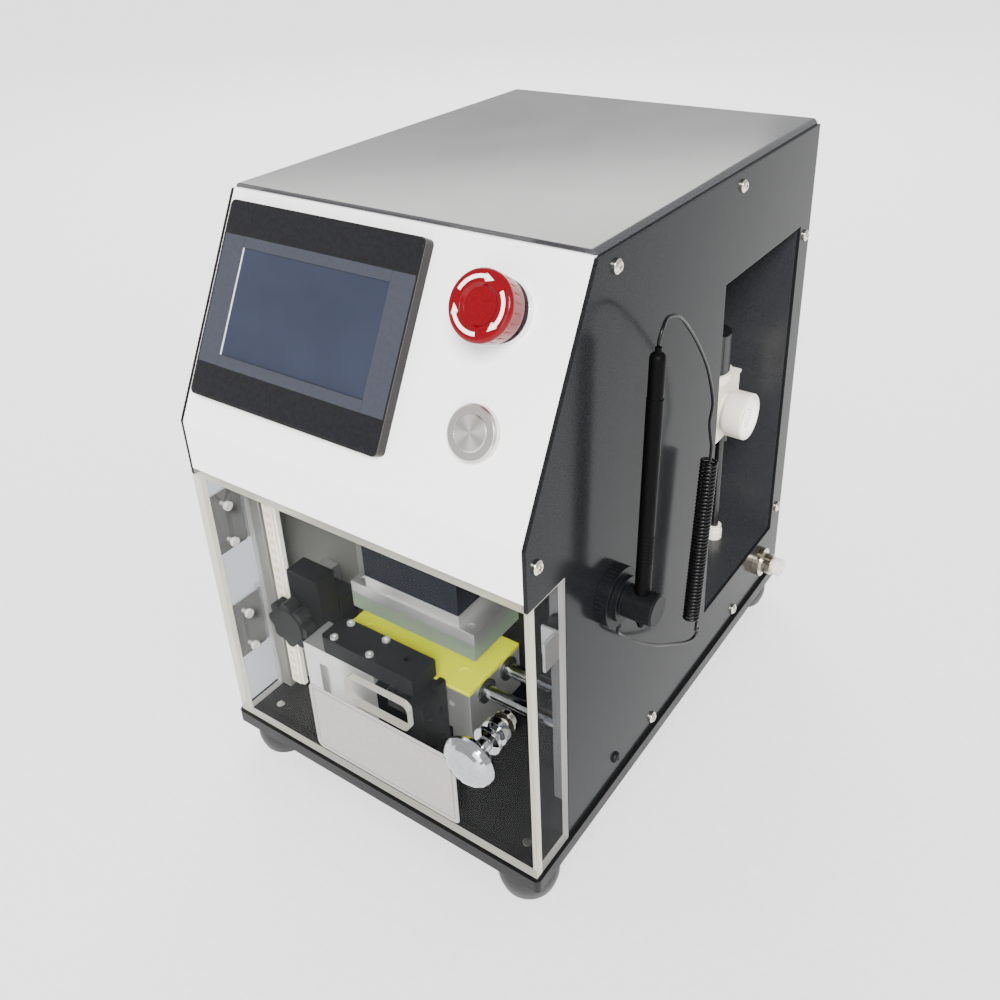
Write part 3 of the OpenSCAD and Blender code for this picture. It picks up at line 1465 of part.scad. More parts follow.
module inlet_ring() {
    color("#ddd6c4") on_deck() difference() {
        union() {
            bar_x(inlet_ring_d, half_w + inlet_reach - inlet_ring_t, half_w + inlet_reach, inlet_y, inlet_z);
            bar_x(inlet_sleeve_d, inlet_sleeve_x + inlet_travel + seat_gap, half_w + inlet_reach,
                inlet_y, inlet_z);
        }
        bar_x(inlet_tube_d + 2 * run_gap, half_w, half_w + inlet_reach + overrun, inlet_y, inlet_z);
    }
}

// Rear: mains inlet with its rocker, and a round socket for a foot switch
inlet_rim = 2.5;
mains_depth = 24;
plug_w = 22;
plug_h = 16;
plug_depth = 15;
plug_drop = 12;
pin_w = 2;
pin_h = 4;
pin_pitch = 7;
rocker_w = 12;
rocker_h = 19;
rocker_rise = 12;
rocker_depth = 8;
rocker_room = 1;
rocker_pin_d = 2.4;
pedal_nut_d = 20;
pedal_bore_d = 11;
pedal_depth = 14;

module rear_fittings() {
    face = body_d + rear_reach;
    color("#1c1c1e") on_deck() {
        translate([mains_x, 0, mains_z]) difference() {
            union() {
                block(-mains_w / 2 - inlet_rim, mains_w / 2 + inlet_rim, body_d, face,
                    -mains_h / 2 - inlet_rim, mains_h / 2 + inlet_rim);
                block(fine_gap - mains_w / 2, mains_w / 2 - fine_gap, body_d - mains_depth, body_d,
                    fine_gap - mains_h / 2, mains_h / 2 - fine_gap);
            }
            block(-plug_w / 2, plug_w / 2, face - plug_depth, face + overrun,
                -plug_drop - plug_h / 2, -plug_drop + plug_h / 2);
            block(-rocker_w / 2 - seat_gap, rocker_w / 2 + seat_gap, face - rocker_depth - rocker_room,
                face + overrun, rocker_rise - rocker_h / 2 - seat_gap, rocker_rise + rocker_h / 2 + seat_gap);
            bar_x(rocker_pin_d + 2 * run_gap, -rocker_w / 2 - 2 * rocker_pin_d,
                rocker_w / 2 + 2 * rocker_pin_d,
                face - rocker_depth / 2, rocker_rise);
        }
        for (i = [-1:1]) translate([mains_x + i * pin_pitch, 0, mains_z - plug_drop + (1 - abs(i)) * pin_w])
            block(-pin_w / 2, pin_w / 2, face - plug_depth, face - plug_depth / 4, -pin_h / 2, pin_h / 2);
        difference() {
            union() {
                bar_y(pedal_nut_d, pedal_x, body_d, face, pedal_z);
                bar_y(pedal_d - 2 * fine_gap, pedal_x, body_d - pedal_depth, body_d, pedal_z);
            }
            bar_y(pedal_bore_d, pedal_x, body_d - pedal_depth / 2, face + overrun, pedal_z);
        }
    }
}

// Rocker: two slanted faces that meet over the pivot pin
rocker_profile = [[-rocker_h / 2, 0], [-rocker_h / 2 + rocker_pin_d, -rocker_pin_d],
    [rocker_h / 2 - rocker_pin_d, -rocker_pin_d], [rocker_h / 2, 0], [rocker_h / 2, rocker_pin_d],
    [0, rocker_pin_d / 2], [-rocker_h / 2, rocker_pin_d]];

module power_rocker() {
    color("#a4161c") on_deck()
        translate([mains_x, body_d + rear_reach - rocker_depth / 2, mains_z + rocker_rise]) {
            bar_x(rocker_pin_d, -rocker_w / 2 - rocker_pin_d, rocker_w / 2 + rocker_pin_d, 0, 0);
            translate([-rocker_w / 2, 0, 0]) rotate([0, 90, 0]) linear_extrude(rocker_w)
                polygon(rocker_profile);
        }
}

echo(curl_gap = curl_gap, cord_upper = line_length(upper_points), cord_lower = line_length(lower_points),
    cord_coil = line_length(coil_points));

base_plate();
feet();
side_panel_left();
side_panel_right();
top_cover();
front_panel();
rear_panel();
bulkhead();
front_posts();
light_strip();
niche_box();
housing_fasteners();
hmi_bezel();
hmi_screen();
hmi_case();
stop_collar();
stop_plunger();
stop_cap();
start_bezel();
start_button();
door_front();
door_sides();
door_pull();
door_pull_screw();
door_hinges();
body_hinges();
door_strike();
door_magnets();
guide_rods();
rod_supports();
carriage();
carriage_bushes();
lower_pad();
drive_cylinder();
drive_rod();
stop_block();
clamp_knob();
press_bracket();
press_cylinder();
press_rods();
upper_plate();
upper_pad();
wire_clamp();
clamp_block();
clamp_cover();
clamp_jaw();
stylus_holder();
stylus();
cord_upper();
cord_coil();
cord_lower();
regulator();
regulator_knob();
gauge();
gauge_needle();
air_hoses();
air_inlet();
inlet_ring();
rear_fittings();
power_rocker();
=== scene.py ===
# %% [markdown]
# # Bench wire twisting machine
# This notebook dresses a ready-made machine. Its solids, with their real sizes and joints, come
# in as a frame; each cell adds one finish or one piece and says what the real thing is made of.
# Everything is in metres, with the frame's own origin under the middle of the machine.

# %% Load the machine
import json
import math
import bmesh
import bpy
from mathutils import Matrix, Vector


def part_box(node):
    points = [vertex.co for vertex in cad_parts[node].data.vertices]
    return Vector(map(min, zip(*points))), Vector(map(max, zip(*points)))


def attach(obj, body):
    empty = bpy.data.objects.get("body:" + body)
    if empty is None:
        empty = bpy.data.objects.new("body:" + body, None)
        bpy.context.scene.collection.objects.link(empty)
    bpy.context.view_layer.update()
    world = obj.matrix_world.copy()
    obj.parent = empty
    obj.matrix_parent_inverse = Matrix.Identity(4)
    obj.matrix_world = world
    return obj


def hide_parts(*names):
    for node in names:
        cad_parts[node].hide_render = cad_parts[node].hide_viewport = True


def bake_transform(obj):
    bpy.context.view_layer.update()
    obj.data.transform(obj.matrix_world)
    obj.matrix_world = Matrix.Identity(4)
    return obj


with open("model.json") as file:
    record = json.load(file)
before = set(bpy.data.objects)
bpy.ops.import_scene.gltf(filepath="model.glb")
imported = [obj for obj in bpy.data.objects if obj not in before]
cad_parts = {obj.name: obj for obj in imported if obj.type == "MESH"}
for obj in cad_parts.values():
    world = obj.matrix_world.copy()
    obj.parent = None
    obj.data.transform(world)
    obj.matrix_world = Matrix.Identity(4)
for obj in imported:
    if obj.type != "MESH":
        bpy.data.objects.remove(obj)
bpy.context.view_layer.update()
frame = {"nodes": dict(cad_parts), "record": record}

NODES = frame["nodes"]

# %% [markdown]
# ## The maker's own measures
# On the drawing every place is given in millimetres: x from the machine's middle, y from the
# front face of the white lip, z from the top of the base plate. One helper turns such a place
# into the frame. The front panel slopes, so it gets a helper of its own: x across, drop down the
# slope from its upper edge, and out at right angles to the sheet.

# %% Places on the machine
MM = 0.001
BASE_LOW, BASE_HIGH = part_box("base_plate")
ORIGIN = Vector(((BASE_LOW.x + BASE_HIGH.x) / 2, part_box("front_panel")[0].y, BASE_HIGH.z))
SLOPE_TOP_Y, SLOPE_TOP_Z, SLOPE_RISE = 61, 320, 113
SLOPE_ANGLE = math.atan2(SLOPE_RISE, SLOPE_TOP_Y)
UP_SLOPE = Vector((0, math.cos(SLOPE_ANGLE), math.sin(SLOPE_ANGLE)))
OUT_OF_SLOPE = Vector((0, -math.sin(SLOPE_ANGLE), math.cos(SLOPE_ANGLE)))


def place(x, y, z):
    return ORIGIN + Vector((x, y, z)) * MM


def slope_matrix(x, drop, out=0):
    spot = place(x, SLOPE_TOP_Y, SLOPE_TOP_Z) + (OUT_OF_SLOPE * out - UP_SLOPE * drop) * MM
    turned_to_slope = Matrix(((1, 0, 0), (0, UP_SLOPE.y, OUT_OF_SLOPE.y), (0, UP_SLOPE.z, OUT_OF_SLOPE.z)))
    return Matrix.Translation(spot) @ turned_to_slope.to_4x4()


print("origin of the maker's measures:", [round(v, 4) for v in ORIGIN])

# %% [markdown]
# ## The camera
# A product photograph is taken from a little above and to the right, close enough that the far
# edges shorten. The camera's place, turn and focal length are set from known corners of the
# machine; the lens is shifted down slightly because the picture was cropped that way.

# %% Camera
AZIMUTH, ELEVATION, ROLL = 36.50, 28.18, 2.75
FOCAL_PIXELS, CENTRE_X, CENTRE_Y, PICTURE = 1017, 497.8, 402.1, 1000
CAMERA_SPOT, SENSOR = (307.7, -281.3, 463.0), 36
az, el, roll = map(math.radians, (AZIMUTH, ELEVATION, ROLL))
back = Vector((math.sin(az) * math.cos(el), -math.cos(az) * math.cos(el), math.sin(el)))
right = (-back).cross(Vector((0, 0, 1))).normalized()
down = (-back).cross(right)
tilted_right = math.cos(roll) * right + math.sin(roll) * down
tilted_down = -math.sin(roll) * right + math.cos(roll) * down
camera_data = bpy.data.cameras.new("product_camera")
camera_data.sensor_width = SENSOR
camera_data.lens = SENSOR * FOCAL_PIXELS / PICTURE
camera_data.shift_x = (PICTURE / 2 - CENTRE_X) / PICTURE
camera_data.shift_y = (CENTRE_Y - PICTURE / 2) / PICTURE
camera_data.clip_start, camera_data.clip_end = 0.01, 20
camera = bpy.data.objects.new("product_camera", camera_data)
bpy.context.scene.collection.objects.link(camera)
turn = Matrix((tilted_right, -tilted_down, back)).transposed().to_4x4()
camera.matrix_world = Matrix.Translation(place(*CAMERA_SPOT)) @ turn
bpy.context.scene.camera = camera
print("lens", round(camera_data.lens, 2), "mm, shift", round(camera_data.shift_y, 4))

# %% [markdown]
# ## The curly cord
# The touch pen hangs on a thin curly cord: straight out of a small gland under the holder, a
# tight helix that leans on the side panel, and a free arch up to the pen's cap. The cord is one
# length of PVC lead, so it is one tube swept along one line. The line runs through a few chosen
# places and is smoothed between them; inside the helix it follows the coil's own formula. The
# coarse line is the stated route, and the fine one, with more steps, carries the tube.

# %% Cord line
CORD_D, CURL_D, CURLS, COIL_LENGTH, COIL_LEAN = 1.7, 9.8, 45, 101, 6.5
HALF_W = 110
COIL_FOOT = Vector((HALF_W + 12, 146, 73))
CURL_R = (CURL_D - CORD_D) / 2
TURNS = CURLS + 0.5
CURL_PITCH = COIL_LENGTH / TURNS
TURN_R, LEAD = 1.2 * CORD_D, 1.5 * CORD_D
POINTS_PER_CURL = 16
PEN_LEAN, PEN_TOP = 3.5, 136.5
PEN_FOOT = Vector((HALF_W + 18, 72, 137))
GLAND = Vector((HALF_W + 5, 72, 118))
UPPER_ROUTE = [(18, 84, 281), (17, 91, 283), (17, 102, 279), (16, 116, 267), (15, 130, 252),
               (14, 142, 237), (13, 151, 222), (13, 155, 209), (12, 155, 197)]
LOWER_ROUTE = [(14, 153, 61), (13, 150, 57), (12, 143, 58), (10, 127, 67), (9, 108, 80),
               (7, 90, 95), (5, 77, 108)]


def lean(point, degrees):
    a = math.radians(degrees)
    return Vector((point[0], point[1] * math.cos(a) + point[2] * math.sin(a),
                   -point[1] * math.sin(a) + point[2] * math.cos(a)))


def curl_point(turned):
    a = math.radians(turned)
    return Vector((CURL_R * math.cos(a), CURL_R * math.sin(a), CURL_PITCH * (turned - FIRST_TURN) / 360))


def curl_end(turned, side, bend):
    a, b = math.radians(turned), math.radians(bend)
    along = Vector((-math.sin(a), math.cos(a), 0))
    rise = Vector((0, 0, side * TURN_R * (1 - math.cos(b))))
    return curl_point(turned) + along * (TURN_R * math.sin(b) * side) + rise


def smooth_line(places, steps):
    line = [places[0]]
    for i in range(1, len(places) - 2):
        p0, p1, p2, p3 = places[i - 1:i + 3]
        for k in range(steps):
            t = k / steps
            line.append(0.5 * (2 * p1 + (p2 - p0) * t + (2 * p0 - 5 * p1 + 4 * p2 - p3) * t * t
                               + (3 * p1 - p0 - 3 * p2 + p3) * t ** 3))
    return line + places[-2:]


FIRST_TURN, LAST_TURN = 90, 90 + 360 * TURNS
TURN_BENDS = (30, 60, 90)
coil_line = [curl_end(FIRST_TURN, -1, 90) - Vector((0, 0, LEAD))]
coil_line += [curl_end(FIRST_TURN, -1, bend) for bend in reversed(TURN_BENDS)]
curl_steps = range(int(TURNS * POINTS_PER_CURL) + 1)
coil_line += [curl_point(FIRST_TURN + 360 * i / POINTS_PER_CURL) for i in curl_steps]
coil_line += [curl_end(LAST_TURN, 1, bend) for bend in TURN_BENDS]
coil_line += [curl_end(LAST_TURN, 1, 90) + Vector((0, 0, LEAD))]
coil_line = [COIL_FOOT + lean(p, COIL_LEAN) for p in coil_line]
coil_axis = lean((0, 0, 1), COIL_LEAN)
pen_axis = lean((0, 0, 1), PEN_LEAN)
pen_top = PEN_FOOT + pen_axis * PEN_TOP
lower_places = [GLAND, GLAND - Vector((0, 0, 1.5 * LEAD))]
lower_places += [Vector((HALF_W + x, y, z)) for x, y, z in reversed(LOWER_ROUTE)]
lower_places += [coil_line[0] - 2 * LEAD * coil_axis, coil_line[0]]
upper_places = [coil_line[-1], coil_line[-1] + 2 * LEAD * coil_axis]
upper_places += [Vector((HALF_W + x, y, z)) for x, y, z in reversed(UPPER_ROUTE)]
upper_places += [pen_top + LEAD * pen_axis, pen_top]
ROUTE_STEPS, TUBE_STEPS = 3, 9
cord_route, cord_fine = [
    smooth_line(lower_places, steps) + coil_line[1:-1] + smooth_line(upper_places, steps)
    for steps in (ROUTE_STEPS, TUBE_STEPS)]
cord_route = [place(*p) for p in cord_route]
cord_fine = [place(*p) for p in cord_fine]

# %% [markdown]
# ## Sweeping a tube
# A sweep carries one round section along the line. The section must not twist, so each new ring
# starts from the last one's direction and only takes the turn that the line itself makes.

# %% Cord
def sweep(name, line, radius, sides):
    mesh = bmesh.new()
    rings, side = [], None
    for i, point in enumerate(line):
        ahead = (line[min(i + 1, len(line) - 1)] - line[max(i - 1, 0)]).normalized()
        side = side - ahead * side.dot(ahead) if side else ahead.orthogonal()
        side.normalize()
        other = ahead.cross(side)
        rings.append([mesh.verts.new(point + radius * (math.cos(a) * side + math.sin(a) * other))
                      for a in (2 * math.pi * k / sides for k in range(sides))])
    for low, high in zip(rings, rings[1:]):
        for k in range(sides):
            mesh.faces.new((low[k], low[(k + 1) % sides], high[(k + 1) % sides], high[k])).smooth = True
    mesh.faces.new(list(reversed(rings[0])))
    mesh.faces.new(rings[-1])
    return finished(name, mesh)


def finished(name, mesh, materials=()):
    bmesh.ops.recalc_face_normals(mesh, faces=mesh.faces)
    data = bpy.data.meshes.new(name)
    mesh.to_mesh(data)
    mesh.free()
    for material in materials:
        data.materials.append(material)
    made = bpy.data.objects.new(name, data)
    bpy.context.scene.collection.objects.link(made)
    return made


CORD_SIDES = 10
cord = sweep("pen_cord", cord_fine, CORD_D / 2 * MM, CORD_SIDES)
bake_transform(cord)
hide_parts("cord_upper", "cord_coil", "cord_lower")
print("cord faces:", len(cord.data.polygons))

# %% [markdown]
# ## Shared surface effects
# Real surfaces are never one colour. Four small shader groups give the variation that several
# finishes share: a fine grain, drawn or brushed lines, slow smudges, and rounded, slightly worn
# edges. Each is built once, with named inputs, and every material sets its own values.

# %% Shader group helper
def new_group(name, inputs, outputs):
    tree = bpy.data.node_groups.new(name, "ShaderNodeTree")
    for label, kind, value in inputs:
        socket = tree.interface.new_socket(name=label, in_out="INPUT", socket_type=kind)
        if value is not None:
            socket.default_value = value
    for label, kind in outputs:
        tree.interface.new_socket(name=label, in_out="OUTPUT", socket_type=kind)
    return tree, tree.nodes.new("NodeGroupInput"), tree.nodes.new("NodeGroupOutput")


def math_node(tree, operation, a, b=None, clamp=False):
    made = tree.nodes.new("ShaderNodeMath")
    made.operation = operation
    made.use_clamp = clamp
    for socket, value in zip(made.inputs, (a, b)):
        if isinstance(value, bpy.types.NodeSocket):
            tree.links.new(value, socket)
        elif value is not None:
            socket.default_value = value
    return made.outputs[0]


NUMBER, VECTOR = "NodeSocketFloat", "NodeSocketVector"
print("group helper ready")

# %% [markdown]
# Powder paint and moulded plastic have a grain of a fraction of a millimetre. A noise texture on
# object coordinates gives it, and the same value drives colour, roughness and bump, so that the
# three agree.

# %% Fine grain group
grain_tree, start, end = new_group(
    "fine grain", [("Grains Per Metre", NUMBER, 1500.0), ("Contrast", NUMBER, 1.0)],
    [("Mask", NUMBER), ("Height", NUMBER)])
where = grain_tree.nodes.new("ShaderNodeTexCoord")
noise = grain_tree.nodes.new("ShaderNodeTexNoise")
noise.inputs["Detail"].default_value = 2
grain_tree.links.new(where.outputs["Object"], noise.inputs["Vector"])
grain_tree.links.new(start.outputs["Grains Per Metre"], noise.inputs["Scale"])
middle = math_node(grain_tree, "SUBTRACT", noise.outputs["Fac"], 0.5)
spread = math_node(grain_tree, "MULTIPLY", middle, start.outputs["Contrast"])
mask = math_node(grain_tree, "ADD", math_node(grain_tree, "MULTIPLY", spread, 2.5), 0.5, clamp=True)
grain_tree.links.new(mask, end.inputs["Mask"])
grain_tree.links.new(noise.outputs["Fac"], end.inputs["Height"])
print(grain_tree.name, "ready")

# %% [markdown]
# Drawn bars and brushed sheets show lines along one direction. Stretching the coordinates before
# the noise makes them: the long direction gets a small scale and the others a large one.

# %% Drawn lines group
lines_tree, start, end = new_group(
    "drawn lines", [("Stretch", VECTOR, (40.0, 2500.0, 2500.0))], [("Mask", NUMBER)])
where = lines_tree.nodes.new("ShaderNodeTexCoord")
stretched = lines_tree.nodes.new("ShaderNodeVectorMath")
stretched.operation = "MULTIPLY"
noise = lines_tree.nodes.new("ShaderNodeTexNoise")
noise.inputs["Scale"].default_value = 1
noise.inputs["Detail"].default_value = 3
lines_tree.links.new(where.outputs["Object"], stretched.inputs[0])
lines_tree.links.new(start.outputs["Stretch"], stretched.inputs[1])
lines_tree.links.new(stretched.outputs[0], noise.inputs["Vector"])
lines_tree.links.new(noise.outputs["Fac"], end.inputs["Mask"])
print(lines_tree.name, "ready")

# %% [markdown]
# Handling leaves slow changes of gloss, a few centimetres wide. They only feed roughness and a
# faint shift of colour.

# %% Smudges group
smudge_tree, start, end = new_group(
    "smudges", [("Smudges Per Metre", NUMBER, 25.0), ("Low", NUMBER, 0.3), ("High", NUMBER, 0.5)],
    [("Mask", NUMBER), ("Value", NUMBER)])
where = smudge_tree.nodes.new("ShaderNodeTexCoord")
noise = smudge_tree.nodes.new("ShaderNodeTexNoise")
noise.inputs["Detail"].default_value = 4
noise.inputs["Roughness"].default_value = 0.6
spread = smudge_tree.nodes.new("ShaderNodeMapRange")
spread.inputs["From Min"].default_value = 0.3
spread.inputs["From Max"].default_value = 0.7
smudge_tree.links.new(where.outputs["Object"], noise.inputs["Vector"])
smudge_tree.links.new(start.outputs["Smudges Per Metre"], noise.inputs["Scale"])
smudge_tree.links.new(noise.outputs["Fac"], spread.inputs["Value"])
smudge_tree.links.new(start.outputs["Low"], spread.inputs["To Min"])
smudge_tree.links.new(start.outputs["High"], spread.inputs["To Max"])
smudge_tree.links.new(noise.outputs["Fac"], end.inputs["Mask"])
smudge_tree.links.new(spread.outputs["Result"], end.inputs["Value"])
print(smudge_tree.name, "ready")

# %% [markdown]
# No machined edge is razor sharp. A bevel node rounds the shading of every edge by a few tenths
# of a millimetre, which is where highlights catch, and the difference from the flat normal is a
# mask of the edges that shows where paint thins and metal is rubbed bright. A few paints take a
# darker tint on it instead: the top cover as painted shade on its bends, the grey panel and niche
# paints simply darker at their edges.

# %% Rounded edges group
edge_tree, start, end = new_group(
    "rounded edges", [("Radius", NUMBER, 0.0004), ("Wear", NUMBER, 2.0)],
    [("Edge", NUMBER), ("Normal", VECTOR)])
rounded = edge_tree.nodes.new("ShaderNodeBevel")
rounded.samples = 4
flat = edge_tree.nodes.new("ShaderNodeNewGeometry")
dot = edge_tree.nodes.new("ShaderNodeVectorMath")
dot.operation = "DOT_PRODUCT"
edge_tree.links.new(start.outputs["Radius"], rounded.inputs["Radius"])
edge_tree.links.new(rounded.outputs["Normal"], dot.inputs[0])
edge_tree.links.new(flat.outputs["Normal"], dot.inputs[1])
away = math_node(edge_tree, "SUBTRACT", 1.0, dot.outputs["Value"])
edge = math_node(edge_tree, "MULTIPLY", away, start.outputs["Wear"], clamp=True)
edge_tree.links.new(edge, end.inputs["Edge"])
edge_tree.links.new(rounded.outputs["Normal"], end.inputs["Normal"])
print(edge_tree.name, "ready")

# %% [markdown]
# ## One recipe for solid finishes
# Paint, plastic, rubber and metal differ in a few numbers: two close colours, the size of the
# grain, how rough it is at least and at most, how deep the grain lies, and what shows on the
# edges. One recipe takes these and builds the material, so that all finishes stay in step.

# %% Finish recipe
def tone(code):
    parts = [int(code[i:i + 2], 16) / 255 for i in (1, 3, 5)]
    return tuple(c / 12.92 if c <= 0.04045 else ((c + 0.055) / 1.055) ** 2.4 for c in parts) + (1,)


def place_group(material, tree, **values):
    node = material.node_tree.nodes.new("ShaderNodeGroup")
    node.node_tree = tree
    for label, value in values.items():
        node.inputs[label.replace("_", " ")].default_value = value
    return node


def mixed(material, mask, first, second):
    node = material.node_tree.nodes.new("ShaderNodeMix")
    node.data_type = "RGBA"
    link = material.node_tree.links.new
    link(mask, node.inputs["Factor"])
    for socket, value in ((node.inputs["A"], first), (node.inputs["B"], second)):
        if isinstance(value, bpy.types.NodeSocket):
            link(value, socket)
        else:
            socket.default_value = value
    return node.outputs["Result"]


def new_material(name):
    material = bpy.data.materials.new(name)
    material.use_nodes = True
    return material, material.node_tree.nodes["Principled BSDF"], material.node_tree.links.new


def finish(name, first, second, rough, metal=0.0, grain=1500.0, contrast=1.0, bump=0.02, lines=None,
           edge=None, edge_r=0.4, wear=2.0, smudges=25.0, specular=0.5):
    material, shader, link = new_material(name)
    grains = place_group(material, grain_tree, Grains_Per_Metre=grain, Contrast=contrast)
    smudge = place_group(material, smudge_tree, Smudges_Per_Metre=smudges, Low=rough[0], High=rough[1])
    edges = place_group(material, edge_tree, Radius=edge_r * MM, Wear=wear)
    mask, height = grains.outputs["Mask"], grains.outputs["Height"]
    if lines:
        drawn = place_group(material, lines_tree, Stretch=lines)
        mask = height = drawn.outputs["Mask"]
    colour = mixed(material, mask, tone(first), tone(second))
    if edge:
        colour = mixed(material, edges.outputs["Edge"], colour, tone(edge))
    link(colour, shader.inputs["Base Color"])
    link(smudge.outputs["Value"], shader.inputs["Roughness"])
    bumps = material.node_tree.nodes.new("ShaderNodeBump")
    bumps.inputs["Distance"].default_value = bump * MM
    bumps.inputs["Strength"].default_value = 1
    link(height, bumps.inputs["Height"])
    link(edges.outputs["Normal"], bumps.inputs["Normal"])
    link(bumps.outputs["Normal"], shader.inputs["Normal"])
    shader.inputs["Metallic"].default_value = metal
    shader.inputs["Specular IOR Level"].default_value = specular
    return material


print("finish recipe ready")

# %% [markdown]
# ## Paints, metals, plastics and rubber
# The housing wears two powder paints: a grey with fine sparkle and a smooth warm white. Inside
# are anodised and bare aluminium, ground steel and chrome; the small parts are plastics.

# %% Solid finishes
SHEET_LINES, BAR_LINES = (2200.0, 60.0, 2200.0), (30.0, 2400.0, 2400.0)
FINISHES = {
    "black_plate": finish("black plate paint", "#0b0b0c", "#151515", (0.3, 0.44), grain=1100, bump=0.01,
                          edge="#242426", specular=0.15),
    "foot_rubber": finish("foot rubber", "#121213", "#1e1e1f", (0.4, 0.55), grain=900, bump=0.04,
                          edge="#2c2c2d", specular=0.35),
    # The grey panel paint is darker at its edges.
    "grey_panel": finish("grey panel paint", "#0f1011", "#1d1e20", (0.14, 0.21), grain=1500, contrast=1.2,
                         bump=0.001, edge="#0a0b0c", edge_r=0.6, specular=0.05),
    "white_panel": finish("white panel paint", "#f5f2f1", "#faf8f7", (0.3, 0.4), grain=1200, bump=0.002),
    "inner_grey": finish("inner grey paint", "#71716c", "#7c7c77", (0.42, 0.56), bump=0.0, specular=0.15),
    # The niche paint is darker at its edges.
    "niche_grey": finish("niche paint", "#1f2022", "#2c2d2f", (0.22, 0.34), grain=1300, bump=0.006,
                         edge="#141516", specular=0.4),
    "aluminium": finish("milled aluminium", "#c6c5c3", "#dddcda", (0.28, 0.42), metal=0.9, lines=BAR_LINES,
                        bump=0.003, edge="#f6f5f3", wear=1.5),
    "zinc": finish("zinc plated steel", "#c4bfb4", "#e2ddd2", (0.16, 0.28), metal=1.0, grain=2500, bump=0.004,
                   edge="#f6f2ea"),
    "hinge_steel": finish("polished sheet steel", "#c9c5bf", "#e2dfd9", (0.3, 0.4), metal=0.45,
                          lines=SHEET_LINES, bump=0.002, edge="#ffffff", edge_r=0.3),
    "chrome": finish("chrome", "#9fa1a4", "#adafb2", (0.03, 0.08), metal=1.0, grain=600, bump=0.001,
                     edge_r=0.25),
    "tool_steel": finish("ground steel", "#a8aaac", "#c8cacc", (0.2, 0.32), metal=1.0, lines=BAR_LINES,
                         bump=0.003, edge="#f0f0f0"),
    "button_steel": finish("turned steel", "#b9b5b0", "#d6d2cd", (0.2, 0.32), metal=0.95,
                           lines=(1800.0, 90.0, 1800.0), bump=0.004, edge="#ffffff", edge_r=0.3),
    "collar_metal": finish("collar plating", "#c5c6c9", "#dddee0", (0.2, 0.3), metal=1.0, grain=2000,
                           bump=0.004, edge="#ffffff"),
    "inlet_brass": finish("nickel plated brass", "#a49b8b", "#c9c1b2", (0.16, 0.28), metal=1.0, grain=1500,
                          bump=0.004, edge="#efe9dc"),
    "bezel_grey": finish("bezel plastic", "#100f0f", "#161514", (0.34, 0.46), grain=1800, bump=0.0,
                         edge="#83817f", specular=0.2),
    "case_plastic": finish("case plastic", "#1f2022", "#2a2b2d", (0.5, 0.62), bump=0.02, specular=0.4),
    "cream_plastic": finish("cream plastic", "#cfc8ba", "#ddd7ca", (0.34, 0.5), bump=0.008),
    "dark_plastic": finish("dark plastic", "#090a0b", "#131415", (0.34, 0.5), grain=1400, bump=0.01,
                           edge="#1f2022", specular=0.12),
    "red_plastic": finish("red plastic", "#5a0008", "#64000a", (0.1, 0.18), grain=900, bump=0.0,
                          edge="#8a0a14", specular=0.2),
    "bush_dark": finish("seal rubber", "#0d0d0e", "#171718", (0.3, 0.45), bump=0.01, specular=0.4),
    "yellow_pad": finish("yellow pad", "#a6ab00", "#b2b700", (0.4, 0.54), grain=1200, bump=0.0,
                         edge="#d0c61e", specular=0.1),
    "black_anodised": finish("black anodised", "#08090a", "#111214", (0.36, 0.5), grain=1700, bump=0.006,
                             edge="#2c2d30", wear=1.6, specular=0.08),
    "blue_black": finish("blue black anodised", "#0e0f14", "#171920", (0.42, 0.55), grain=1900, bump=0.01,
                         edge="#2b2e3a", specular=0.08),
    "stylus_plastic": finish("pen plastic", "#030303", "#070708", (0.4, 0.5), grain=1500, bump=0.002,
                             edge="#141415", specular=0.04),
    "cream_housing": finish("cream housing", "#d9d2c4", "#e6dfd2", (0.3, 0.44), bump=0.008, edge="#f2eee6"),
    "knob_black": finish("knob plastic", "#0f0f10", "#1a1a1c", (0.3, 0.45), bump=0.012, edge="#333334",
                         specular=0.4),
    "hose_black": finish("hose polyurethane", "#080809", "#111112", (0.2, 0.32), grain=700, bump=0.006),
    "cord_skin": finish("cord PVC", "#060607", "#0e0e0f", (0.2, 0.3), grain=1500, bump=0.002, edge_r=0.1,
                        specular=0.15),
}
cord.data.materials.append(FINISHES["cord_skin"])
print(len(FINISHES), "finishes")

# %% [markdown]
# ## Clear plates and the milky pad
# Acrylic is glass-like with a lower index. Its broad faces are clear, while the sawn edges are
# matt and pipe light, so they look cream white. The side plates are seen against the light and
# get a grey tint, which is painted shade on what stands behind them. Shadow rays may pass almost
# freely, because the thin plate hardly darkens what stands behind it. The index is set below that
# of real acrylic, since the studio floor is much brighter than a workbench and its reflection
# would veil the inside.

# %% Clear finishes
LIGHTER = 1.1


def clear(name, colour, rough, index=1.06, shadow=0.1, through=1.0, bump=0.0):
    material, shader, link = new_material(name)
    smudge = place_group(material, smudge_tree, Smudges_Per_Metre=18.0, Low=rough[0], High=rough[1])
    link(smudge.outputs["Value"], shader.inputs["Roughness"])
    lighter = [min(1.0, LIGHTER * channel) for channel in tone(colour)]
    tint = mixed(material, smudge.outputs["Mask"], tone(colour), lighter)
    link(tint, shader.inputs["Base Color"])
    shader.inputs["IOR"].default_value = index
    shader.inputs["Transmission Weight"].default_value = through
    light = material.node_tree.nodes.new("ShaderNodeLightPath")
    alpha = math_node(material.node_tree, "MULTIPLY", light.outputs["Is Shadow Ray"], 1 - shadow)
    link(math_node(material.node_tree, "SUBTRACT", 1.0, alpha), shader.inputs["Alpha"])
    if bump:
        grains = place_group(material, grain_tree, Grains_Per_Metre=1500.0)
        bumps = material.node_tree.nodes.new("ShaderNodeBump")
        bumps.inputs["Distance"].default_value = bump * MM
        link(grains.outputs["Height"], bumps.inputs["Height"])
        link(bumps.outputs["Normal"], shader.inputs["Normal"])
    return material


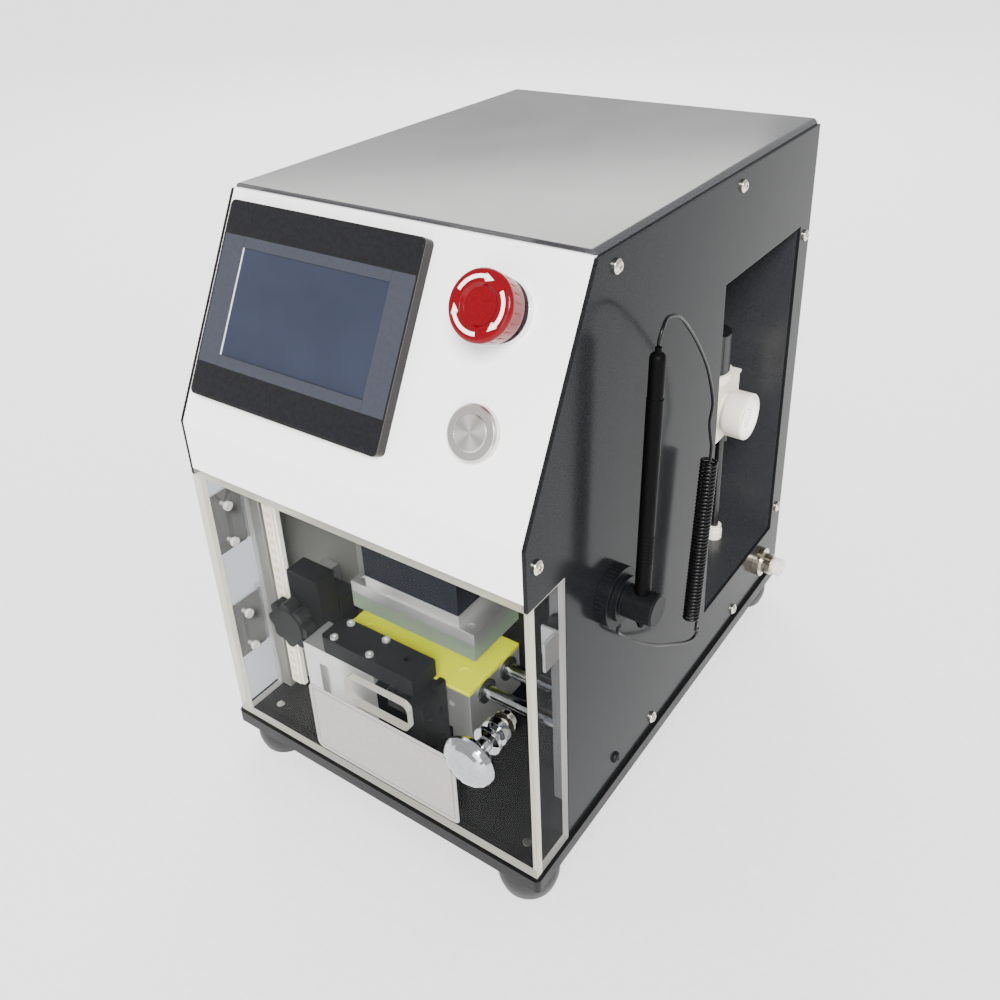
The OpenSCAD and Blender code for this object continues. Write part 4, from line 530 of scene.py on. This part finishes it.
CLEAR_FACE = clear("clear acrylic", "#eceeed", (0.0, 0.02))
SAWN_EDGE = clear("sawn acrylic edge", "#cbc7bd", (0.5, 0.7), index=1.2, through=0.6, bump=0.03)
MILKY_PAD = clear("milky polyurethane", "#a8b8a2", (0.3, 0.45), index=1.25, shadow=0.4, through=0.8,
                  bump=0.01)
# The side plates' grey tint is painted shade on what stands behind them.
SIDE_ACRYLIC_PAINTED_SHADE = clear("side acrylic tinted as painted shade", "#a0a3a9", (0.0, 0.02))
LENS = clear("gauge lens", "#ffffff", (0.02, 0.05), index=1.12)
print("clear finishes ready")

# %% [markdown]
# The start button's face is turned on a lathe. Its colour holds a painted highlight that fans out
# from its middle in a few broad wedges, crossed by the fine lines of the turning. Both follow the
# angle round the button's own axis. The group takes the axis' place and the direction up the
# slope; the other direction is plain x.

# %% Turning lines and painted highlight wedges
HIGHLIGHT_WEDGES, HIGHLIGHT_WEDGE_DEPTH = 4.0, 0.35
turning_highlight_tree, start, end = new_group(
    "turning lines and painted highlight", [("Centre", VECTOR, (0.0, 0.0, 0.0)), ("Up", VECTOR, (0.0, 0.0, 1.0)),
                       ("Streaks", NUMBER, 40.0)], [("Mask", NUMBER)])
where = turning_highlight_tree.nodes.new("ShaderNodeTexCoord")
offset = turning_highlight_tree.nodes.new("ShaderNodeVectorMath")
offset.operation = "SUBTRACT"
rise = turning_highlight_tree.nodes.new("ShaderNodeVectorMath")
rise.operation = "DOT_PRODUCT"
across = turning_highlight_tree.nodes.new("ShaderNodeSeparateXYZ")
noise = turning_highlight_tree.nodes.new("ShaderNodeTexNoise")
noise.noise_dimensions = "1D"
noise.inputs["Scale"].default_value = 1
noise.inputs["Detail"].default_value = 3
turning_highlight_tree.links.new(where.outputs["Object"], offset.inputs[0])
turning_highlight_tree.links.new(start.outputs["Centre"], offset.inputs[1])
turning_highlight_tree.links.new(offset.outputs[0], rise.inputs[0])
turning_highlight_tree.links.new(start.outputs["Up"], rise.inputs[1])
turning_highlight_tree.links.new(offset.outputs[0], across.inputs[0])
angle = math_node(turning_highlight_tree, "ARCTAN2", rise.outputs["Value"], across.outputs["X"])
fine = math_node(turning_highlight_tree, "MULTIPLY", angle, start.outputs["Streaks"])
turning_highlight_tree.links.new(fine, noise.inputs["W"])
highlight_wedge = math_node(turning_highlight_tree, "SINE", math_node(turning_highlight_tree, "MULTIPLY", angle, HIGHLIGHT_WEDGES))
highlight_wedge = math_node(turning_highlight_tree, "MULTIPLY", highlight_wedge, HIGHLIGHT_WEDGE_DEPTH)
turning_and_highlight_mask = math_node(turning_highlight_tree, "ADD", highlight_wedge, noise.outputs["Fac"], clamp=True)
turning_highlight_tree.links.new(turning_and_highlight_mask, end.inputs["Mask"])
print(turning_highlight_tree.name, "ready")

# %% [markdown]
# The button's own material mixes two tones of polished steel by that mask, so its lighter wedges
# are a painted highlight. The machine's two round buttons stand in one column on the slope, the
# stop button above the start button.

# %% Button face
BUTTONS_X, STOP_DROP, START_DROP = 72, 33, 87
BUTTON_FACE_PAINTED_HIGHLIGHT, shader, link = new_material("turned button face with painted highlight")
turning_highlight_node = place_group(BUTTON_FACE_PAINTED_HIGHLIGHT, turning_highlight_tree, Streaks=40.0)
turning_highlight_node.inputs["Centre"].default_value = slope_matrix(BUTTONS_X, START_DROP).translation
turning_highlight_node.inputs["Up"].default_value = UP_SLOPE
smudge = place_group(BUTTON_FACE_PAINTED_HIGHLIGHT, smudge_tree, Smudges_Per_Metre=60.0, Low=0.22, High=0.34)
steel = mixed(BUTTON_FACE_PAINTED_HIGHLIGHT, turning_highlight_node.outputs["Mask"], tone("#a5a19b"), tone("#e2dfda"))
link(steel, shader.inputs["Base Color"])
link(smudge.outputs["Value"], shader.inputs["Roughness"])
shader.inputs["Metallic"].default_value = 0.9
print("button face ready")

# %% [markdown]
# ## Dressing the carried-over solids
# The solids that already have the right shape only need their finish. The record says which
# finish each one takes, so a loop over its list does it. Three get a finish of their own: the top
# cover, whose paint is lighter than the sides' as a painted reflection and darker on its bends as
# painted shade, the front posts, whose aluminium is darkened as painted shade because they stand
# in the door's shade, and the start button, whose steel carries a painted highlight.

# %% Materials on the solids
SLOT_OF = {part["node"]: part["material_slot"] for part in frame["record"]["subparts"]}
FINISHES["clear_acrylic"] = CLEAR_FACE
FINISHES["clear_pad"] = MILKY_PAD
# The top cover's grey is lighter than the side paint as a painted reflection, and its darker edge tint is
# painted shade on its bends.
TOP_PAINT_PAINTED_LIGHT_AND_SHADE = finish("top cover paint with painted reflection and shade", "#232426", "#38393c", (0.14, 0.17), grain=1500, contrast=1.3,
                   bump=0.001, edge="#141516", edge_r=0.6)
# The front posts' aluminium is darker than the milled aluminium as painted shade for the door's shade.
POST_METAL_PAINTED_SHADE = finish("post aluminium darkened as painted shade", "#73716e", "#84827f", (0.36, 0.5), metal=0.6,
                    lines=(2400.0, 2400.0, 40.0), bump=0.002, edge="#d0ceca", specular=0.3)
SPECIAL = {"top_cover": TOP_PAINT_PAINTED_LIGHT_AND_SHADE, "front_posts": POST_METAL_PAINTED_SHADE, "start_button": BUTTON_FACE_PAINTED_HIGHLIGHT}
for node_name, solid in NODES.items():
    look = SPECIAL.get(node_name) or FINISHES.get(SLOT_OF[node_name])
    if look:
        solid.data.materials.clear()
        solid.data.materials.append(look)
print("dressed:", sum(1 for name in NODES if SLOT_OF[name] in FINISHES), "of", len(NODES))

# %% [markdown]
# ## Plates with two finishes
# The door's plates are copied from the solids and their faces sorted by direction: the broad
# faces stay clear and all others get the matt edge finish. A copy of a solid is loose triangles,
# so its points are merged first. The left side panel is handled the same way: its inner face, the
# chamber's wall, takes the lighter inner grey as painted light, and its outer face wears the
# housing's grey.

# %% Two-tone plates
def dressed_copy(node_name, name, body, broad, broad_look, edge_look, one_side=False):
    mesh = bmesh.new()
    mesh.from_mesh(NODES[node_name].data)
    bmesh.ops.remove_doubles(mesh, verts=mesh.verts, dist=1e-6)
    for face in mesh.faces:
        along = face.normal.dot(broad)
        face.material_index = 0 if (along if one_side else abs(along)) > 0.9 else 1
        face.smooth = False
    made = finished(name, mesh, (broad_look, edge_look))
    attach(made, body)
    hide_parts(node_name)


TO_RIGHT, TO_BACK = Vector((1, 0, 0)), Vector((0, 1, 0))
dressed_copy("door_front", "door_front_plate", "door", TO_BACK, CLEAR_FACE, SAWN_EDGE)
dressed_copy("door_sides", "door_side_plates", "door", TO_RIGHT, SIDE_ACRYLIC_PAINTED_SHADE, SAWN_EDGE)
# The panel's inner face takes the lighter inner grey as painted light.
dressed_copy("side_panel_left", "left_panel_lined", "housing", TO_RIGHT, FINISHES["inner_grey"],
             FINISHES["grey_panel"], one_side=True)
print("two-tone plates: 3")

# %% [markdown]
# ## Lathe work
# The gauge's case, dial and lens and the screw heads are round parts. A profile of radius and
# height is spun round an axis; the helper closes the poles and lays the result along any
# direction. Edges that turn sharply are then marked, so that only the gentle ones look smooth.

# %% Lathe helper
def ring_of_points(mesh, radius, height, steps):
    if radius == 0:
        return [mesh.verts.new((0, 0, height * MM))]
    places = [(radius * math.cos(a), radius * math.sin(a), height)
              for a in (2 * math.pi * k / steps for k in range(steps))]
    return [mesh.verts.new((x * MM, y * MM, z * MM)) for x, y, z in places]


def aimed(spot, axis):
    return Matrix.Translation(spot) @ Vector(axis).to_track_quat("Z", "Y").to_matrix().to_4x4()


def sharpen(made, degrees=30):
    mesh = bmesh.new()
    mesh.from_mesh(made.data)
    for line in mesh.edges:
        if len(line.link_faces) == 2 and line.calc_face_angle(0) > math.radians(degrees):
            line.smooth = False
    mesh.to_mesh(made.data)
    mesh.free()


def turned(name, profile, spot, axis, look, steps=64):
    mesh = bmesh.new()
    rings = [ring_of_points(mesh, radius, height, steps) for radius, height in profile]
    for low, high in zip(rings, rings[1:]):
        for k in range(steps):
            n = k + 1
            corners = [low[k % len(low)], low[n % len(low)], high[n % len(high)], high[k % len(high)]]
            corners = list(dict.fromkeys(corners))
            if len(corners) > 2:
                mesh.faces.new(corners).smooth = True
    mesh.transform(aimed(spot, axis))
    made = finished(name, mesh, (look,))
    sharpen(made)
    return made


print("lathe ready")

# %% [markdown]
# ## Many from one
# Dial ticks, arrows and lamp chips repeat along an arc or a line. A geometry node tree places
# copies of one small mesh; it is built here with named inputs, and its result becomes a plain
# mesh, because a finished piece must carry no live modifier.

# %% Arc of copies
def socket_id(tree, label):
    inputs = [item for item in tree.interface.items_tree if item.in_out == "INPUT"]
    return next(item.identifier for item in inputs if item.name == label)


arc_tree = bpy.data.node_groups.new("copies on an arc", "GeometryNodeTree")
for label, kind in (("Mark", "NodeSocketObject"), ("Count", "NodeSocketInt"), ("First Angle", NUMBER),
                    ("Step Angle", NUMBER), ("Step Along", NUMBER), ("Look", "NodeSocketMaterial")):
    arc_tree.interface.new_socket(name=label, in_out="INPUT", socket_type=kind)
arc_tree.interface.new_socket(name="Geometry", in_out="OUTPUT", socket_type="NodeSocketGeometry")
arc_in, arc_out = arc_tree.nodes.new("NodeGroupInput"), arc_tree.nodes.new("NodeGroupOutput")
index = arc_tree.nodes.new("GeometryNodeInputIndex").outputs[0]
points = arc_tree.nodes.new("GeometryNodePoints")
spot = arc_tree.nodes.new("ShaderNodeCombineXYZ")
turn_by = arc_tree.nodes.new("ShaderNodeCombineXYZ")
mark = arc_tree.nodes.new("GeometryNodeObjectInfo")
copies = arc_tree.nodes.new("GeometryNodeInstanceOnPoints")
real = arc_tree.nodes.new("GeometryNodeRealizeInstances")
paint = arc_tree.nodes.new("GeometryNodeSetMaterial")
wire = arc_tree.links.new
wire(arc_in.outputs["Count"], points.inputs["Count"])
wire(math_node(arc_tree, "MULTIPLY", index, arc_in.outputs["Step Along"]), spot.inputs["Z"])
wire(spot.outputs[0], points.inputs["Position"])
wire(math_node(arc_tree, "ADD", arc_in.outputs["First Angle"],
               math_node(arc_tree, "MULTIPLY", index, arc_in.outputs["Step Angle"])), turn_by.inputs["Z"])
wire(arc_in.outputs["Mark"], mark.inputs["Object"])
wire(points.outputs[0], copies.inputs["Points"])
wire(mark.outputs["Geometry"], copies.inputs["Instance"])
wire(turn_by.outputs[0], copies.inputs["Rotation"])
wire(copies.outputs[0], real.inputs[0])
wire(real.outputs[0], paint.inputs["Geometry"])
wire(arc_in.outputs["Look"], paint.inputs["Material"])
wire(paint.outputs[0], arc_out.inputs[0])


def repeated(name, mark_object, count, first, step, along, look, matrix):
    carrier = bpy.data.objects.new(name + "_carrier", bpy.data.meshes.new(name + "_carrier"))
    bpy.context.scene.collection.objects.link(carrier)
    modifier = carrier.modifiers.new("copies", "NODES")
    modifier.node_group = arc_tree
    for label, value in (("Mark", mark_object), ("Count", count), ("First Angle", math.radians(first)),
                         ("Step Angle", math.radians(step)), ("Step Along", along * MM), ("Look", look)):
        modifier[socket_id(arc_tree, label)] = value
    bpy.context.view_layer.update()
    graph = bpy.context.evaluated_depsgraph_get()
    data = bpy.data.meshes.new_from_object(carrier.evaluated_get(graph))
    data.transform(matrix)
    made = bpy.data.objects.new(name, data)
    bpy.context.scene.collection.objects.link(made)
    bpy.data.objects.remove(carrier)
    bpy.data.objects.remove(mark_object)
    return made


print(arc_tree.name, "ready")

# %% [markdown]
# ## The touch screen
# The operator panel is a printed film behind glass: black bands above and below, a blue grey
# surround, and the display itself a little deeper. It is built as one mesh on the slope with a
# material for each printed area, so the borders are as crisp as print.

# %% Screen finishes
PRINT_BLACK = finish("film black", "#121214", "#17171a", (0.1, 0.2), grain=500, bump=0.0, smudges=14,
                     specular=0.2)
PRINT_GREY = finish("film grey", "#2f3138", "#32343c", (0.12, 0.22), grain=500, bump=0.0, smudges=14,
                    specular=0.2)
DISPLAY = finish("display", "#222632", "#292d3a", (0.08, 0.18), grain=30, contrast=0.5, bump=0.0,
                 smudges=9, specular=0.2)
# The window wall's light grey is a painted highlight on the display's leaning left wall.
WINDOW_WALL_HIGHLIGHT = finish("window wall painted highlight", "#b9bcc0", "#cfd2d5", (0.3, 0.4))
BLACK_SLOT, GREY_SLOT, DISPLAY_SLOT, HIGHLIGHT_WALL_SLOT = range(4)
print("screen finishes: 4")

# %% [markdown]
# The film's front is two bands with round outer corners and four strips round the window. The
# display lies a little deeper, and its left wall leans and is light grey as a painted highlight,
# while the other walls are black. Edges that no two faces share are then pulled back behind the
# display, and the back is closed.

# %% Screen film
SCREEN_X, SCREEN_DROP, SCREEN_OUT = -37, 60, 6.15
FILM_W, FILM_H, FILM_R, FILM_T = 125.6, 99.6, 3, 0.12
WINDOW_LEFT, WINDOW_RIGHT, WINDOW_TOP, WINDOW_FOOT, WINDOW_DEEP = -48.5, 49, 28, -27.5, 0.9
LEFT_BEVEL = 0.35
BAND_TOP, BAND_FOOT = 33.5, -33.4


def film_face(mesh, corners, material):
    points = [mesh.verts.new((x * MM, y * MM, out * MM)) for x, y, out in corners]
    mesh.faces.new(points).material_index = material


def film_corner(side, up, first):
    angles = [math.radians(first + 15 * k) for k in range(7)]
    centre_x, centre_y = side * (FILM_W / 2 - FILM_R), up * (FILM_H / 2 - FILM_R)
    return [(centre_x + FILM_R * math.cos(a), centre_y + FILM_R * math.sin(a), 0) for a in angles]


def film_box(left, right, low, high, out=0):
    return [(left, low, out), (right, low, out), (right, high, out), (left, high, out)]


mesh = bmesh.new()
half_w = FILM_W / 2
upper_band = [(-half_w, BAND_TOP, 0), (half_w, BAND_TOP, 0)]
upper_band += film_corner(1, 1, 0) + film_corner(-1, 1, 90)
lower_band = [(half_w, BAND_FOOT, 0), (-half_w, BAND_FOOT, 0)]
lower_band += film_corner(-1, -1, 180) + film_corner(1, -1, 270)
film_face(mesh, upper_band, BLACK_SLOT)
film_face(mesh, lower_band, BLACK_SLOT)
for strip in ((-half_w, WINDOW_LEFT, BAND_FOOT, BAND_TOP), (WINDOW_RIGHT, half_w, BAND_FOOT, BAND_TOP),
              (WINDOW_LEFT, WINDOW_RIGHT, WINDOW_TOP, BAND_TOP),
              (WINDOW_LEFT, WINDOW_RIGHT, BAND_FOOT, WINDOW_FOOT)):
    film_face(mesh, film_box(*strip), GREY_SLOT)
window = film_box(WINDOW_LEFT, WINDOW_RIGHT, WINDOW_FOOT, WINDOW_TOP)
deep = film_box(WINDOW_LEFT + LEFT_BEVEL, WINDOW_RIGHT, WINDOW_FOOT, WINDOW_TOP, -WINDOW_DEEP)
film_face(mesh, deep, DISPLAY_SLOT)
for k in range(4):
    n = (k + 1) % 4
    film_face(mesh, (window[k], deep[k], deep[n], window[n]), HIGHLIGHT_WALL_SLOT if k == 3 else BLACK_SLOT)
bmesh.ops.remove_doubles(mesh, verts=mesh.verts, dist=1e-7)
rim = bmesh.ops.extrude_edge_only(mesh, edges=[e for e in mesh.edges if e.is_boundary])
rim_points = [part for part in rim["geom"] if isinstance(part, bmesh.types.BMVert)]
bmesh.ops.translate(mesh, vec=(0, 0, -(WINDOW_DEEP + FILM_T) * MM), verts=rim_points)
bmesh.ops.holes_fill(mesh, edges=[e for e in mesh.edges if e.is_boundary])
mesh.transform(slope_matrix(SCREEN_X, SCREEN_DROP, SCREEN_OUT))
screen = finished("screen_film", mesh, (PRINT_BLACK, PRINT_GREY, DISPLAY, WINDOW_WALL_HIGHLIGHT))
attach(screen, "housing")
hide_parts("hmi_screen")
print("screen faces:", len(screen.data.polygons))

# %% [markdown]
# ## The stop button's arrows
# A mushroom stop button unlocks by turning, and three white arrows on its rim say so. One arrow
# is drawn flat along its arc and repeated three times.

# %% Stop arrows
WHITE_PRINT = finish("white print", "#ece9e6", "#f6f4f1", (0.3, 0.42), grain=900, bump=0.004)
ARROW_IN, ARROW_OUT, ARROW_SPAN, HEAD_SPAN, HEAD_WIDER = 11.3, 13.1, 72, 20, 1.2
ARROWS, ARROW_FIRST, ARROW_T, CAP_OUT = 3, 38, 0.08, 21.0


def points_in(result):
    return [part for part in result["geom"] if isinstance(part, bmesh.types.BMVert)]


mesh = bmesh.new()
outline = [(ARROW_IN, a) for a in range(0, ARROW_SPAN + 1, 6)]
outline += [(ARROW_IN - HEAD_WIDER, ARROW_SPAN), ((ARROW_IN + ARROW_OUT) / 2, ARROW_SPAN + HEAD_SPAN),
            (ARROW_OUT + HEAD_WIDER / 2, ARROW_SPAN)]
outline += [(ARROW_OUT, a) for a in range(ARROW_SPAN, -1, -6)]
outline = [(r, math.radians(a)) for r, a in outline]
lower = [mesh.verts.new((r * math.cos(a) * MM, -r * math.sin(a) * MM, 0)) for r, a in outline]
bmesh.ops.triangulate(mesh, faces=[mesh.faces.new(lower)])
raised = bmesh.ops.extrude_face_region(mesh, geom=list(mesh.faces))
bmesh.ops.translate(mesh, vec=(0, 0, ARROW_T * MM), verts=points_in(raised))
arrow = finished("arrow", mesh)
arrows = repeated("stop_arrows", arrow, ARROWS, ARROW_FIRST, 360 / ARROWS, 0, WHITE_PRINT,
                  slope_matrix(BUTTONS_X, STOP_DROP, CAP_OUT))
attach(arrows, "stop_cap")
print("arrow faces:", len(arrows.data.polygons))

# %% [markdown]
# ## The pressure gauge
# A small gauge is a moulded case with a rim, a printed dial, and a domed lens that is thicker in
# the middle. The needle is one of the solids and turns on its own joint, so the dial leaves room
# for it.

# %% Gauge
GAUGE_SPOT, GAUGE_AXIS = place(88, 254, 149), (1, 0, 0)
CASE_PROFILE = [(0, 0), (11, 0), (12, 1), (12.2, 3), (14.2, 5), (15, 6.5), (15, 17.4), (14.4, 18.2),
                (13.4, 18.2), (13, 17.6), (13, 13.6), (0, 13.6)]
DIAL_PROFILE = [(0, 13.1), (12.8, 13.1), (12.8, 13.65), (0, 13.65)]
LENS_PROFILE = [(0, 17.0), (12.9, 16.4), (12.9, 17.6), (11.5, 18.3), (8, 18.75), (4, 18.95), (0, 19)]
DIAL_PRINT = finish("dial print", "#e9edf0", "#f4f6f8", (0.4, 0.5))
case = turned("gauge_case", CASE_PROFILE, GAUGE_SPOT, GAUGE_AXIS, FINISHES["cream_housing"])
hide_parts("gauge")
dial = turned("gauge_dial", DIAL_PROFILE, GAUGE_SPOT, GAUGE_AXIS, DIAL_PRINT)
lens = turned("gauge_lens", LENS_PROFILE, GAUGE_SPOT, GAUGE_AXIS, LENS)
for made in (case, dial, lens):
    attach(made, "housing")
print("gauge pieces: 3")

# %% [markdown]
# The scale's ticks are printed bars on the dial, one every ten degrees over three quarters of a
# turn.

# %% Gauge ticks
TICKS, TICK_FIRST, TICK_STEP = 28, -225, 10
TICK_MIDDLE_R, TICK_LENGTH, TICK_WIDTH, TICK_T, TICK_OUT = 10.6, 2.2, 0.35, 0.1, 13.72
TICK_PRINT = finish("tick print", "#26303a", "#303b46", (0.4, 0.5))
mesh = bmesh.new()
bmesh.ops.create_cube(mesh, size=1)
mesh.transform(Matrix.Diagonal((TICK_LENGTH * MM, TICK_WIDTH * MM, TICK_T * MM, 1)))
mesh.transform(Matrix.Translation((TICK_MIDDLE_R * MM, 0, 0)))
tick = finished("tick", mesh)
facing = aimed(GAUGE_SPOT + Vector((TICK_OUT * MM, 0, 0)), GAUGE_AXIS)
ticks = repeated("gauge_ticks", tick, TICKS, TICK_FIRST, TICK_STEP, 0, TICK_PRINT, facing)
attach(ticks, "housing")
print("ticks:", TICKS)

# %% [markdown]
# ## The card on the door
# A plain printed card sits on the door's outer face. It is a thin sheet of white film, coloured mid
# grey as painted shade, with round corners and a thin grey border line.

# %% Door card
# The card's mid grey is painted shade on a white card.
CARD_WHITE_PAINTED_SHADE = finish("card white darkened as painted shade", "#858280", "#8d8a88", (0.36, 0.48), grain=700, bump=0.002)
CARD_LINE = finish("card line", "#5a5a5b", "#666667", (0.36, 0.48), grain=700, bump=0.002)
CARD_LEFT, CARD_RIGHT, CARD_FOOT, CARD_HEAD, CARD_R, CARD_T = -43, 61, 8, 57, 4, 0.15
LINE_IN, LINE_W, LINE_T, AIR = 2.6, 0.5, 0.04, 0.02


def round_rect(inset):
    radius = max(CARD_R - inset, 1)
    room = inset + radius
    low_x, high_x, low_z, high_z = CARD_LEFT + room, CARD_RIGHT - room, CARD_FOOT + room, CARD_HEAD - room
    corners = ((high_x, high_z, 0), (low_x, high_z, 90), (low_x, low_z, 180), (high_x, low_z, 270))
    angles = [(cx, cz, math.radians(first + 15 * k)) for cx, cz, first in corners for k in range(7)]
    return [(cx + radius * math.cos(a), cz + radius * math.sin(a)) for cx, cz, a in angles]


def door_sheet(name, outline, hole, near, thick, look):
    mesh = bmesh.new()
    outer = [mesh.verts.new(place(x, near, z)) for x, z in outline]
    if hole:
        inner = [mesh.verts.new(place(x, near, z)) for x, z in hole]
        for k in range(len(outer)):
            n = (k + 1) % len(outer)
            mesh.faces.new((outer[k], outer[n], inner[n], inner[k]))
    else:
        mesh.faces.new(outer)
    pulled = bmesh.ops.extrude_face_region(mesh, geom=list(mesh.faces))
    bmesh.ops.translate(mesh, vec=(0, -thick * MM, 0), verts=points_in(pulled))
    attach(finished(name, mesh, (look,)), "door")


door_sheet("door_card", round_rect(0), None, -AIR, CARD_T, CARD_WHITE_PAINTED_SHADE)
line_outside, line_inside = round_rect(LINE_IN), round_rect(LINE_IN + LINE_W)
door_sheet("door_card_line", line_outside, line_inside, -AIR - CARD_T, LINE_T, CARD_LINE)
print("card ready")

# %% [markdown]
# ## The black screw
# One black screw sits low on the side panel, where the others are silver. Its head is lathe work:
# a socket would be hardly a pixel deep, so a small dished centre stands for it.

# %% Black side screw
DOME = [(0, 0.5), (0.35, 0.5), (0.45, 0.95), (0.75, 0.9), (1.0, 0.6), (1.12, 0.25), (1.12, 0), (0, 0)]
SCREW_R, SCREW_RISE, SCREW_SIDES = 2.9, 0.75, 24
SCREW_SPOT = place(110.05, 80.6, 14.5)
head = [(r * SCREW_R, h * SCREW_R * SCREW_RISE) for r, h in DOME]
screw = turned("side_screw_black", head, SCREW_SPOT, TO_RIGHT, FINISHES["dark_plastic"], SCREW_SIDES)
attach(screw, "housing")
print("black screw faces:", len(screw.data.polygons))

# %% [markdown]
# ## Lamp chips
# The light strip is a row of chips under a cream cover; each shows as a slightly warmer patch.
# The arc of copies above does it with a step along and no turn.

# %% Lamp chips
CHIP_PRINT = finish("lamp chip", "#b8ab86", "#cbbf9c", (0.4, 0.5))
CHIP_W, CHIP_T, CHIP_H, CHIPS, CHIP_STEP = 4.2, 0.1, 3.0, 25, 6.5
FIRST_CHIP = Matrix.Translation(place(-93.5, 32.75, 10))
mesh = bmesh.new()
bmesh.ops.create_cube(mesh, size=1)
mesh.transform(Matrix.Diagonal((CHIP_W * MM, CHIP_T * MM, CHIP_H * MM, 1)))
chip = finished("chip", mesh)
chips = repeated("lamp_chips", chip, CHIPS, 0, 0, CHIP_STEP, CHIP_PRINT, FIRST_CHIP)
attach(chips, "housing")
print("chips:", CHIPS)

# %% [markdown]
# ## The floor
# Small products are shot on a pale sweep of paper that runs out of the picture on all sides.

# %% Floor
FLOOR_REACH = 6
floor_look = finish("sweep paper", "#f3f3f3", "#f7f7f7", (0.6, 0.7), grain=200, bump=0.0)
mesh = bmesh.new()
bmesh.ops.create_grid(mesh, x_segments=1, y_segments=1, size=FLOOR_REACH)
floor = finished("sweep", mesh, (floor_look,))
print("floor:", 2 * FLOOR_REACH, "m wide")

# %% [markdown]
# ## The light
# The surround is bright on all sides. One large soft box stands behind on the left, where the top
# cover mirrors it towards the camera, and a small one in front on the right lights the chamber
# without a reflection in the door or the screen. The key is a wide, soft sun from the same side.

# %% Lights
def soft_box(name, spot, aim, size, power, colour):
    lamp = bpy.data.lights.new(name, "AREA")
    lamp.shape = "RECTANGLE"
    lamp.size, lamp.size_y = size
    lamp.energy, lamp.color = power, colour
    made = bpy.data.objects.new(name, lamp)
    bpy.context.scene.collection.objects.link(made)
    made.location = spot
    made.rotation_euler = (Vector(aim) - Vector(spot)).to_track_quat("-Z", "Y").to_euler()


COVER_MIDDLE, BODY_MIDDLE = (0, 0.05, 0.34), (0, 0, 0.15)
WARM, PLAIN = (1, 0.98, 0.95), (1, 1, 1)
KEY_FROM, KEY_POWER, KEY_WIDTH = Vector((0.45, -0.62, 0.64)), 8.5, math.radians(22)
SURROUND = 0.95
soft_box("box_behind", (-1.15, 1.55, 1.45), COVER_MIDDLE, (1.5, 1.1), 25, WARM)
soft_box("box_front", (0.7, -1.7, 0.7), BODY_MIDDLE, (0.9, 0.7), 10, PLAIN)
key_data = bpy.data.lights.new("key", "SUN")
key_data.energy, key_data.angle = KEY_POWER, KEY_WIDTH
key = bpy.data.objects.new("key", key_data)
bpy.context.scene.collection.objects.link(key)
key.rotation_euler = KEY_FROM.to_track_quat("Z", "Y").to_euler()
world = bpy.data.worlds.new("surround")
world.use_nodes = True
backdrop = world.node_tree.nodes["Background"]
backdrop.inputs["Color"].default_value = (1, 1, 1, 1)
backdrop.inputs["Strength"].default_value = SURROUND
bpy.context.scene.world = world
print("lamps: 3")
